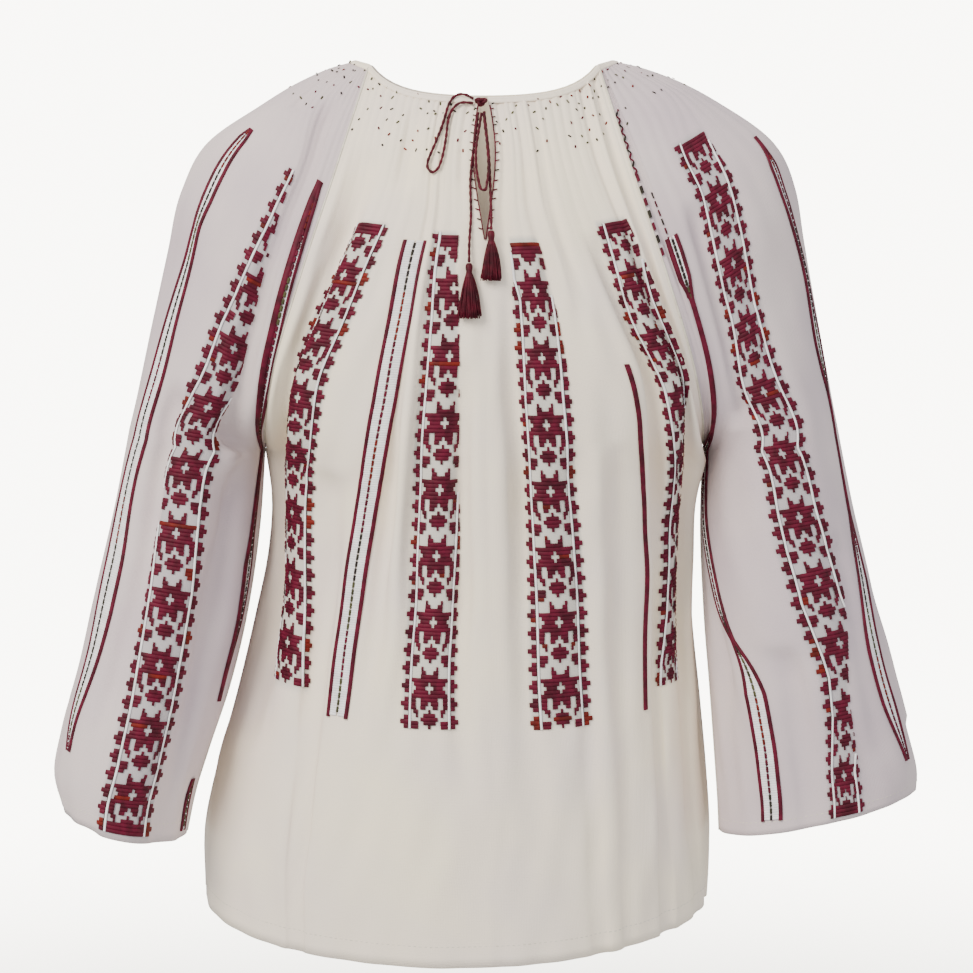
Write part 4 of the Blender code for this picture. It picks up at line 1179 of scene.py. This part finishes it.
# %% Sizes of the wide bands
BANDS = {
    "front_band_low": (front_low, -46, 1, False, table(
        "drop half left right",
        (118, 9.4, -23, 0), (131, 10.0, -23, 1), (164, 12.3, -23, 4), (231, 15.8, -23, 10),
        (300, 18.9, -23, 17),
        (369, 19.5, -23, 21), (410, 20.0, -23, 23), (459, 20.6, -23, 23),
    )),
    "front_band_high": (front_high, 54, 1, False, table(
        "drop half left right",
        (123, 11.0, -16, 15), (150, 13.2, -17, 15), (164, 15.0, -23, 17), (200, 17.2, -23, 20),
        (232, 19.2, -23, 22),
        (301, 21.0, -23, 23), (371, 22.0, -23, 23), (461, 23.0, -23, 23),
    )),
    "side_band_low": (front_low, -186, 1, False, table(
        "drop half left right",
        (115, 15.5, -20, 20), (140, 18.5, -23, 23), (182, 20.5, -23, 23), (239, 21.5, -23, 23),
        (300, 21.0, -22, 23),
        (380, 20.0, -21, 23), (441, 19.5, -21, 22),
    )),
    "side_band_high": (front_high, 190, 1, False, table(
        "drop half left right",
        (116, 12.7, -23, 9), (140, 15.0, -23, 16), (169, 17.5, -23, 23), (190, 18.9, -23, 23),
        (215, 18.6, -23, 23),
        (240, 15.0, -23, 20), (262, 12.0, -23, 10), (285, 11.0, -23, 4), (395, 11.0, -23, 4),
        (415, 11.5, -23, 12),
        (430, 12.0, -23, 23), (445, 12.5, -23, 23),
    )),
    "right_sleeve_band": (sleeve_low, -122, -1, True, table(
        "drop half left right",
        (104, 3.5, -23, -13), (131, 5.0, -23, -10), (152, 8.0, -23, -6), (171, 10.0, -23, -3),
        (194, 12.5, -23, 3),
        (214, 15.0, -23, 9), (239, 17.0, -23, 13), (259, 20.0, -23, 18), (280, 22.0, -23, 23),
        (300, 20.0, -19, 23),
        (325, 18.5, -15, 23), (350, 20.0, -19, 23), (375, 22.3, -23, 23), (549, 22.3, -23, 23),
    )),
    "left_sleeve_band": (sleeve_high, -97, 1, True, table(
        "drop half left right",
        (91, 14.5, -23, 15), (110, 15.5, -23, 19), (130, 17.0, -23, 23), (160, 17.0, -23, 23),
        (189, 15.8, -23, 23),
        (205, 14.7, -23, 23), (231, 16.8, -23, 23), (251, 18.5, -23, 23), (300, 19.0, -23, 23),
        (350, 22.3, -23, 23),
        (383, 21.6, -23, 20), (400, 18.6, -23, 13), (420, 14.6, -23, 6), (440, 11.0, -23, 0),
        (468, 10.0, -23, 2),
        (490, 11.0, -23, 14), (510, 12.2, -23, 23), (549, 13.3, -23, 23),
    )),
    "right_sleeve_band_behind": (sleeve_low, 50, -1, True, table(
        "drop half left right",
        (100, 8.0, -16, 16), (180, 15.0, -23, 23), (300, 19.0, -23, 23), (549, 21.0, -23, 23),
    )),
    "left_sleeve_band_behind": (sleeve_high, 45, 1, True, table(
        "drop half left right",
        (100, 8.0, -16, 16), (180, 15.0, -23, 23), (300, 19.0, -23, 23), (549, 21.0, -23, 23),
    )),
}
# Each cloth keeps a mask of where its bands lie, for the painted shade between their stitches.
for cloth in (front_low, front_high, back_cloth, sleeve_low, sleeve_high):
    cloth["band_shade"] = np.zeros(cloth["points"].shape[:2])
for seed, (name, (cloth, thread, turn, solid_end, rows)) in enumerate(BANDS.items()):
    pile = Pile()
    ground = work_band(pile, stripe_surface(cloth, thread, turn), rows, 60 + seed, solid_end)
    cloth["band_shade"] = np.maximum(cloth["band_shade"], ground)
    piece = pile.finish(name, flosses)
    print(name, len(piece.data.polygons), "faces")

# %% [markdown]
# ## The narrow ladders
#
# Between the wide bands run narrow ladders: two burgundy cords couched along both edges, white
# satin stitch between them, and a row of running stitches down the middle, in whichever dark
# thread was at hand. Where a fold closes over a ladder, only its cords are left to see.

# %% Working a ladder
LADDER_CORD = 2.7
SATIN_PITCH = 1.7
DASH_PITCH = 4.9
DASH_LENGTH = 3.7


def work_ladder(pile, surface, rows, seed, thick=1.0):
    """One narrow ladder. Its table gives half its width at each level. thick widens its left cord."""
    random = np.random.default_rng(seed)
    start, end = np.interp(rows["drop"][[0, -1]], surface["drops"], surface["down"])

    def half_at(down):
        return np.interp(np.interp(down, surface["down"], surface["drops"]), rows["drop"], rows["half"])

    steps = np.linspace(start, end, int((end - start) / 3) + 2)
    half = half_at(steps)
    for side in (-1, 1):
        width = LADDER_CORD * (thick if side < 0 else 1)
        laid_thread(pile, surface, BURGUNDY, side * np.maximum(half - 1, 0.4), steps, width, 1.0)
    for down in np.arange(start + 1, end - 1, SATIN_PITCH):
        half = float(half_at(down))
        if half > 2.9:
            for side in (-1, 1):
                a, b = sorted((side * (half - 1.9), side * 0.7))
                satin_bar(pile, surface, WHITE, a, b, float(down), SATIN_PITCH * 0.98, 0.6)
    kinds = np.repeat(random.choice([BURGUNDY, BURGUNDY, BLACK, OLIVE, ORANGE, BLACK], 60), 7)
    for k, down in enumerate(np.arange(start + 2, end - DASH_LENGTH, DASH_PITCH)):
        if half_at(down) > 2.2:
            at = np.linspace(down, down + DASH_LENGTH, 4)
            laid_thread(pile, surface, int(kinds[k]), np.zeros(4), at, 1.9, 0.95)


LADDERS = {
    "front_ladder_low": (front_low, -116, 1, 1.0, table("drop half", (124, 8.2), (200, 8.4), (457, 8.2))),
    "front_ladder_high": (front_high, 130, 1, 1.0, table("drop half", (210, 0.5), (235, 0.8), (458, 0.8))),
    "right_sleeve_ladder": (sleeve_low, -52, -1, 1.0, table(
        "drop half", (97, 2.0), (104, 4.5), (130, 5.8), (150, 5.6), (170, 4.0), (190, 4.8), (214, 6.6),
        (240, 8.2),
        (266, 9.6), (300, 11.0), (400, 10.5), (460, 8.0), (500, 3.4),
    )),
    "right_sleeve_inner_ladder": (sleeve_low, -210, -1, 1.7, table(
        "drop half", (101, 1.2), (114, 2.4), (147, 3.6), (180, 4.0), (235, 4.0), (270, 3.2), (307, 3.0),
        (340, 3.4),
        (358, 6.0), (380, 5.0), (410, 2.6), (452, 1.0),
    )),
    "right_sleeve_inner_ladder_end": (sleeve_low, -210, -1, 1.0, table(
        "drop half", (512, 2.0), (525, 4.0), (549, 4.4))),
    "left_sleeve_ladder": (sleeve_high, -42, 1, 1.0, table(
        "drop half", (112, 1.0), (125, 2.2), (135, 5.0), (160, 5.5), (188, 4.6), (217, 4.6), (242, 6.0),
        (255, 4.6),
        (266, 1.2), (335, 1.2), (355, 4.2), (380, 7.0), (429, 8.0), (470, 7.0), (515, 3.0),
    )),
    "left_sleeve_inner_ladder": (sleeve_high, -165, 1, 1.0, table(
        "drop half", (138, 4.2), (150, 4.6), (166, 4.2), (180, 1.6), (192, 1.0), (268, 1.0), (284, 4.0),
        (300, 6.0),
        (345, 6.0), (380, 4.5), (403, 1.6), (425, 5.0), (445, 8.0), (541, 7.8),
    )),
    "right_sleeve_inner_ladder_behind": (sleeve_low, 130, -1, 1.0, table(
        "drop half", (110, 3.0), (280, 7.5), (549, 8.0))),
    "left_sleeve_inner_ladder_behind": (sleeve_high, 110, 1, 1.0, table(
        "drop half", (110, 3.0), (280, 7.5), (549, 8.0))),
}
for seed, (name, (cloth, thread, turn, thick, rows)) in enumerate(LADDERS.items()):
    pile = Pile()
    work_ladder(pile, stripe_surface(cloth, thread, turn), rows, 80 + seed, thick)
    piece = pile.finish(name, flosses)
    print(name, len(piece.data.polygons), "faces")

# %% [markdown]
# ## Joining seams
#
# The pieces are joined edge to edge with a needle-made seam, a chain of thread that fills the
# narrow gap between them. It is cream on most seams, and a red and black zigzag on one side of the
# front. A cord in the gap gives the low ridge that such a seam has.

# %% Seams
def seam_line(one, other, count=110):
    """The line midway between two edges that meet."""
    t = np.linspace(0, 1, count)
    return (at_lengths(one, t * lengths(one)[-1]) + at_lengths(other, t * lengths(other)[-1])) / 2


pile = Pile()
seam_lines = []
for sleeve, half, back_edge in ((sleeve_low, front_low, 0), (sleeve_high, front_high, -1)):
    seam_lines += [
        seam_line(sleeve["points"][yoke, 0], half["points"][yoke, -1]),
        seam_line(sleeve["points"][yoke, -1], back_cloth["points"][yoke, back_edge]),
        seam_line(sleeve["points"][skirt, 0], sleeve["points"][skirt, -1]),
        seam_line(half["points"][skirt, -1], back_cloth["points"][skirt, back_edge]),
    ]
for line in seam_lines:
    points, quads, caps = tube(line, np.full(len(line), 0.75), 7)
    pile.add(points, [quads, caps], CREAM)

ZIGZAG_DROPS = (56, 92)
SEAM_DASH_DROPS = (94, 142)
INNER_DASH_DROPS = (108, 176)
edge = stripe_surface(sleeve_high, -SLEEVE_CUT / 2)
zigzag = np.interp(ZIGZAG_DROPS, edge["drops"], edge["down"])
for k, down in enumerate(np.arange(*zigzag, 3.4)):
    wide = 1.5 * (-1) ** k
    a, b = on_stripe(edge, np.array([0.6 + wide, 0.6 - wide]), np.array([down, down + 3.4]), 0.5)
    out = on_stripe(edge, 0.6, down, 1.0) - on_stripe(edge, 0.6, down, 0.0)
    short_stitch(pile, BLACK if k % 3 == 0 else BURGUNDY, a, b, out, 1.7, 0.9)
running = np.interp(SEAM_DASH_DROPS, edge["drops"], edge["down"])
for k, down in enumerate(np.arange(*running, 9.0)):
    at = np.linspace(down, down + 5.4, 4)
    laid_thread(pile, edge, BLACK if k % 2 else BURGUNDY, np.full(4, 1.2), at, 1.8, 1.2)
inner_edge = stripe_surface(sleeve_high, -178)
running = np.interp(INNER_DASH_DROPS, inner_edge["drops"], inner_edge["down"])
for k, down in enumerate(np.arange(*running, 6.6)):
    at = np.linspace(down, down + 4.4, 4)
    laid_thread(pile, inner_edge, BURGUNDY if k % 3 else BLACK, np.zeros(4), at, 1.2, 0.7)
pile.finish("joining_seams", flosses)
print("seams", len(seam_lines))

# %% [markdown]
# ## Small stitches at the neck, slit and hems
#
# Rows of tiny stitches hold the gathers below the neck binding, in odd ends of dark thread. The
# slit is edged with buttonhole stitch, whose short legs reach into the cloth every seven
# millimetres. The hems are turned up and caught down with a running stitch in cream.

# %% Small stitches
GATHER_ROWS = (31.5, 36.0, 42.0, 48.0, 56.0, 65.0)
GATHER_STITCH_PITCH = 9.0
HEM_DEPTH = 12.0
HEM_PITCH = 3.8


def row_places(cloth, row, pitch, offset, from_edge=3.0):
    """Fractional column numbers that are evenly spaced along one row of a cloth."""
    far = lengths(cloth["points"][row])
    return np.interp(np.arange(from_edge + offset, far[-1] - from_edge, pitch), far, np.arange(len(far)))


def between(grid, row, column):
    """A value of a grid between two columns of a row."""
    low = min(int(column), grid.shape[1] - 2)
    return grid[row, low] * (1 - column + low) + grid[row, low + 1] * (column - low)


pile = Pile()
random = np.random.default_rng(23)
thread_kinds = [BLACK, BLACK, BLACK, OLIVE, OLIVE, BURGUNDY, ORANGE]
for cloth in (front_low, front_high, sleeve_low, sleeve_high, back_cloth):
    for k, drop in enumerate(GATHER_ROWS):
        row = int(np.argmin(np.abs(cloth["drops"] - drop)))
        for column in row_places(cloth, row, GATHER_STITCH_PITCH, (k % 2) * GATHER_STITCH_PITCH / 2):
            if random.random() < 0.1 + 0.075 * k:
                continue
            column += random.normal(0, 0.9)
            centre, out = between(cloth["points"], row, column), between(cloth["normals"], row, column)
            out /= np.linalg.norm(out)
            across = np.cross(out, (0, 0, 1.0))
            across /= np.linalg.norm(across)
            lean = random.uniform(-1.1, 1.1)
            along = math.cos(lean) * np.cross(across, out) + math.sin(lean) * across
            centre = centre + 0.35 * out + random.normal(0, 1.6) * np.cross(across, out)
            reach = random.uniform(0.8, 1.5) * along
            kind = int(random.choice(thread_kinds))
            short_stitch(pile, kind, centre - reach, centre + reach, out, 1.3, 0.6)
gathering = pile.finish("gathering_stitches", flosses)

pile = Pile()
for cloth, side in ((front_low, -1), (front_high, 1)):
    edge = stripe_surface(cloth, 0)
    start, end = np.interp((BINDING_DROP + 2, SLIT_END_DROP), edge["drops"], edge["down"])
    steps = np.linspace(start, end, 34)
    laid_thread(pile, edge, BURGUNDY, np.full(34, side * 0.35), steps, 0.9, 0.75)
    for k, down in enumerate(np.arange(start + 3, end - 2, 7.0)):
        down += random.normal(0, 0.5)
        a, b = on_stripe(edge, np.array([0.3, 3.4]) * side, np.array([down, down - 1.2]), 0.35)
        out = on_stripe(edge, side * 1.0, down, 1.0) - on_stripe(edge, side * 1.0, down, 0.0)
        short_stitch(pile, BLACK if random.random() < 0.4 else BURGUNDY, a, b, out, 1.0, 0.7)
slit_edging = pile.finish("slit_edging", flosses)

pile = Pile()
for cloth in (front_low, front_high, sleeve_low, sleeve_high, back_cloth):
    down = cloth["down"]
    row = int(np.argmin(np.abs(down[:, 0] - (down[-1, 0] - HEM_DEPTH))))
    for column in row_places(cloth, row, HEM_PITCH, 0.0, 4.0):
        centre, out = between(cloth["points"], row, column), between(cloth["normals"], row, column)
        out /= np.linalg.norm(out)
        ahead = between(cloth["points"], row, min(column + 1, cloth["points"].shape[1] - 1.01)) - centre
        ahead *= 1.0 / max(float(np.linalg.norm(ahead)), 1e-6)
        short_stitch(pile, CREAM, centre - 1.1 * ahead, centre + 1.1 * ahead, out, 0.7, 0.35)
hem_stitches = pile.finish("hem_stitches", flosses)
for piece in (gathering, slit_edging, hem_stitches):
    print(piece.name, len(piece.data.polygons), "faces")

# %% [markdown]
# ## Cotton cloth
#
# The cloth is a fine plain weave of cotton, washed and not pressed. Its threads are about a third
# of a millimetre apart, and one pixel of the picture covers twice that, so the weave is drawn three
# times too coarse, with its bump kept low. Slubs, the thicker stretches in hand-spun yarn, do show
# at their real size, as faint short streaks along the threads.

# %% Cotton material
THREAD_SPACING = 1.1


def cotton_material(name, colour, shade, ground):
    """Washed plain-woven cotton. Where the bands lie, the greyer ground colour is painted shade between the
    raised stitches.
    """
    made = bpy.data.materials.new(name)
    made.use_nodes = True
    shader = made.node_tree.nodes["Principled BSDF"]
    places = add_node(made, "ShaderNodeUVMap", uv_map="cloth")
    where = add_node(made, "ShaderNodeTexCoord")
    weave = []
    for direction in ("X", "Y"):
        weave.append(add_node(
            made, "ShaderNodeTexWave",
            {"Vector": places.outputs["UV"], "Scale": math.pi / 10 / (THREAD_SPACING * MM), "Distortion": 0.6,
             "Detail": 1.0, "Detail Scale": 0.4},
            wave_type="BANDS", bands_direction=direction,
        ))
    crossed = add_node(
        made, "ShaderNodeMath", {0: weave[0].outputs["Fac"], 1: weave[1].outputs["Fac"]}, operation="MULTIPLY"
    )
    slub_streaks = []
    for stretch in ((900.0, 70.0, 1.0), (60.0, 800.0, 1.0)):
        stretched = add_node(made, "ShaderNodeMapping", {"Vector": places.outputs["UV"], "Scale": stretch})
        slub_streaks.append(add_node(
            made, "ShaderNodeTexNoise", {"Vector": stretched.outputs["Vector"], "Scale": 1.0, "Detail": 2.0}
        ))
    slubs = add_node(
        made, "ShaderNodeMath", {0: slub_streaks[0].outputs["Fac"], 1: slub_streaks[1].outputs["Fac"]},
        operation="ADD",
    )
    soft = add_node(
        made, "ShaderNodeTexNoise", {"Vector": where.outputs["Object"], "Scale": 9.0, "Detail": 3.0}
    )
    tint = add_node(made, "ShaderNodeValToRGB", {"Fac": soft.outputs["Fac"]})
    tint.color_ramp.elements[0].position, tint.color_ramp.elements[1].position = 0.35, 0.68
    tint.color_ramp.elements[0].color = linear(colour)
    tint.color_ramp.elements[1].color = linear(shade)
    # The mask of the bands turns the colour to the greyer ground colour: painted shade between the raised
    # stitches.
    band_shade = add_node(made, "ShaderNodeVertexColor", layer_name="band_shade")
    mixed = add_node(
        made, "ShaderNodeMixRGB",
        {"Fac": band_shade.outputs["Color"], "Color1": tint.outputs["Color"], "Color2": linear(ground)},
    )
    height = add_node(
        made, "ShaderNodeMath", {0: slubs.outputs["Value"], 1: 0.9, 2: crossed.outputs["Value"]},
        operation="MULTIPLY_ADD",
    )
    bump = add_node(
        made, "ShaderNodeBump", {"Height": height.outputs["Value"], "Strength": 0.5, "Distance": 0.00022}
    )
    made.node_tree.links.new(mixed.outputs["Color"], shader.inputs["Base Color"])
    made.node_tree.links.new(bump.outputs["Normal"], shader.inputs["Normal"])
    shader.inputs["Roughness"].default_value = 0.85
    shader.inputs["IOR"].default_value = 1.5
    shader.inputs["Specular IOR Level"].default_value = 0.3
    shader.inputs["Sheen Weight"].default_value = 0.08
    shader.inputs["Sheen Roughness"].default_value = 0.5
    return made


panel_cotton = cotton_material("washed_plain_woven_cotton", "#FBEFD8", "#EFE3DA", "#CDC9C2")
# The sleeves are the same cotton as the panels; their darker, lilac-grey copy of its colours is painted
# shade.
shaded_sleeve_cotton = cotton_material("washed_cotton_sleeves_painted_shade", "#D4C7C8", "#C2B3BC", "#B5AFB3")
print("threads drawn", THREAD_SPACING, "mm apart")

# %% Cloth shells
def shell(cloth):
    """The outer and inner points of a piece of cloth, the numbers of its grid of points, and its own
    coordinates.
    """
    outer = cloth["points"].reshape(-1, 3)
    inner = cloth["inner"].reshape(-1, 3)
    rows, columns = cloth["points"].shape[:2]
    ids = np.arange(rows * columns).reshape(rows, columns)
    places = np.stack(np.broadcast_arrays(cloth["columns"][None], cloth["down"]), axis=-1).reshape(-1, 2)
    return outer, inner, ids, places


def close_shell(outer, inner, quads):
    """Faces of a shell: the outer quads, the same ones inside, and a rim along every open edge."""
    count = len(outer)
    edges = np.concatenate([quads[:, [k, (k + 1) % 4]] for k in range(4)])
    keys = np.sort(edges, axis=1)
    _, first, times = np.unique(keys, axis=0, return_index=True, return_counts=True)
    open_edges = edges[first[times == 1]]
    start, end = open_edges.T
    rim = np.stack([end, start, start + count, end + count], axis=-1)
    return np.concatenate([outer, inner]), np.concatenate([quads, quads[:, ::-1] + count, rim])


print("shell helpers ready")

# %% The four pieces of cloth
def add_flat_sheet(name, cloth, made):
    outer, inner, ids, places = shell(cloth)
    points, quads = close_shell(outer, inner, grid_quads(ids))
    piece = add_piece(name + "_cloth", points, [quads], [made], None, np.tile(places, (2, 1)))
    paint_band_shade(piece, np.tile(cloth["band_shade"].ravel(), 2))
    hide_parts(name)
    return piece


def paint_band_shade(piece, amounts):
    """Marks where the bands lie, as a grey level on each point, for the painted shade between their stitches.
    """
    attribute = piece.data.color_attributes.new("band_shade", "FLOAT_COLOR", "POINT")
    colours = np.ones((len(amounts), 4), np.float32)
    colours[:, :3] = np.clip(amounts, 0, 1)[:, None]
    attribute.data.foreach_set("color", colours.ravel())


low_outer, low_inner, low_ids, low_places = shell(front_low)
high_outer, high_inner, high_ids, high_places = shell(front_high)
high_ids = high_ids + low_ids.size
quads = np.concatenate([grid_quads(low_ids[:, ::-1]), grid_quads(high_ids)])
outer, inner = np.concatenate([low_outer, high_outer]), np.concatenate([low_inner, high_inner])
joined = {int(h): int(l) for h, l in zip(high_ids[slit_end:, 0], low_ids[slit_end:, 0])}
renumber = np.arange(len(outer))
renumber[list(joined)] = list(joined.values())
points, quads = close_shell(outer, inner, renumber[quads])
front_places = np.concatenate([low_places, high_places])
front = add_piece("front_cloth", points, [quads], [panel_cotton], None, np.tile(front_places, (2, 1)))
paint_band_shade(front, np.tile(np.concatenate([front_low["band_shade"].ravel(), front_high["band_shade"].ravel()]), 2))
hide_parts("front")
back = add_flat_sheet("back", back_cloth, panel_cotton)
sleeves = {
    "sleeve_right": add_flat_sheet("sleeve_right", sleeve_low, shaded_sleeve_cotton),
    "sleeve_left": add_flat_sheet("sleeve_left", sleeve_high, shaded_sleeve_cotton),
}
for piece in (front, back, *sleeves.values()):
    print(piece.name, len(piece.data.polygons), "faces")

# %% [markdown]
# ## Neck binding
#
# A doubled strip of the same cotton is sewn over the gathered edge, and the drawstring runs inside
# it. It is made as a soft flattened tube along the neck edge, open at the slit, with small dents
# where the cord pulls it in.

# %% The binding
def neck_loop(drop, share):
    """The whole neck edge at one level, from the slit round the back to the slit again."""
    front_line, middle = panel_line(drop, True)
    back_line, _ = panel_line(drop, False)
    opening = read(SLIT, "half", drop)
    line_high, _ = sleeve_line(share, 1)
    line_low, _ = sleeve_line(share, -1)
    far = lengths(front_line)[-1]
    return np.concatenate([
        at_lengths(front_line, np.linspace(middle + opening, far, 13)),
        at_lengths(line_high, np.linspace(0, lengths(line_high)[-1], 7))[1:-1],
        at_lengths(back_line, np.linspace(lengths(back_line)[-1], 0, 25)),
        at_lengths(line_low, np.linspace(lengths(line_low)[-1], 0, 7))[1:-1],
        at_lengths(front_line, np.linspace(0, middle - opening, 13)),
    ])


binding_rows = np.array([neck_loop(drop, yoke_share(drop)) for drop in (NECK_DROP, BINDING_DROP)])
binding_out = grid_normals(binding_rows, 1)
steps = 420
top_line, low_line = (at_lengths(row, np.linspace(0, lengths(row)[-1], steps)) for row in binding_rows)
seen_out = binding_out[0]
out_line = np.stack([
    np.interp(np.linspace(0, 1, steps), np.linspace(0, 1, len(seen_out)), seen_out[:, k]) for k in range(3)
], axis=-1)
out_line /= np.linalg.norm(out_line, axis=1, keepdims=True)
down_line = low_line - top_line
middle_line = (top_line + low_line) / 2 + (BINDING_PROUD - BINDING_DEPTH / 2) * out_line
sides = 16
around = np.linspace(0, 2 * math.pi, sides, endpoint=False)
along_binding = np.linspace(0, lengths(top_line)[-1], steps)
puckers = 1 - 0.24 * np.abs(np.sin(math.pi * along_binding / 5.2 + 0.8 * np.sin(along_binding / 17)))
section_out = np.sign(np.cos(around)) * np.abs(np.cos(around)) ** 0.7 * BINDING_DEPTH / 2
section_down = np.sign(np.sin(around)) * np.abs(np.sin(around)) ** 0.8 / 2
points = (
    middle_line[:, None] + out_line[:, None] * (section_out[None] * puckers[:, None])[..., None]
    + down_line[:, None] * section_down[None, :, None]
).reshape(-1, 3)
ids = np.arange(len(points)).reshape(steps, sides)
following = np.roll(ids, -1, axis=1)
quads = np.stack([ids[:-1], ids[1:], following[1:], following[:-1]], axis=-1).reshape(-1, 4)
caps = [[ids[0, 0], ids[0, k], ids[0, k + 1]] for k in range(1, sides - 1)]
caps += [[ids[-1, 0], ids[-1, k + 1], ids[-1, k]] for k in range(1, sides - 1)]
places = np.broadcast_arrays(along_binding[:, None], np.linspace(0, 12, sides)[None])
places = np.stack(places, axis=-1).reshape(-1, 2)
binding = add_piece("neck_binding_strip", points, [quads, np.array(caps)], [panel_cotton], None, places)
paint_band_shade(binding, np.zeros(len(points)))
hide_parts("neck_binding")
print("binding", round(float(along_binding[-1])), "mm round")

# %% The sheets
print("sheets made")
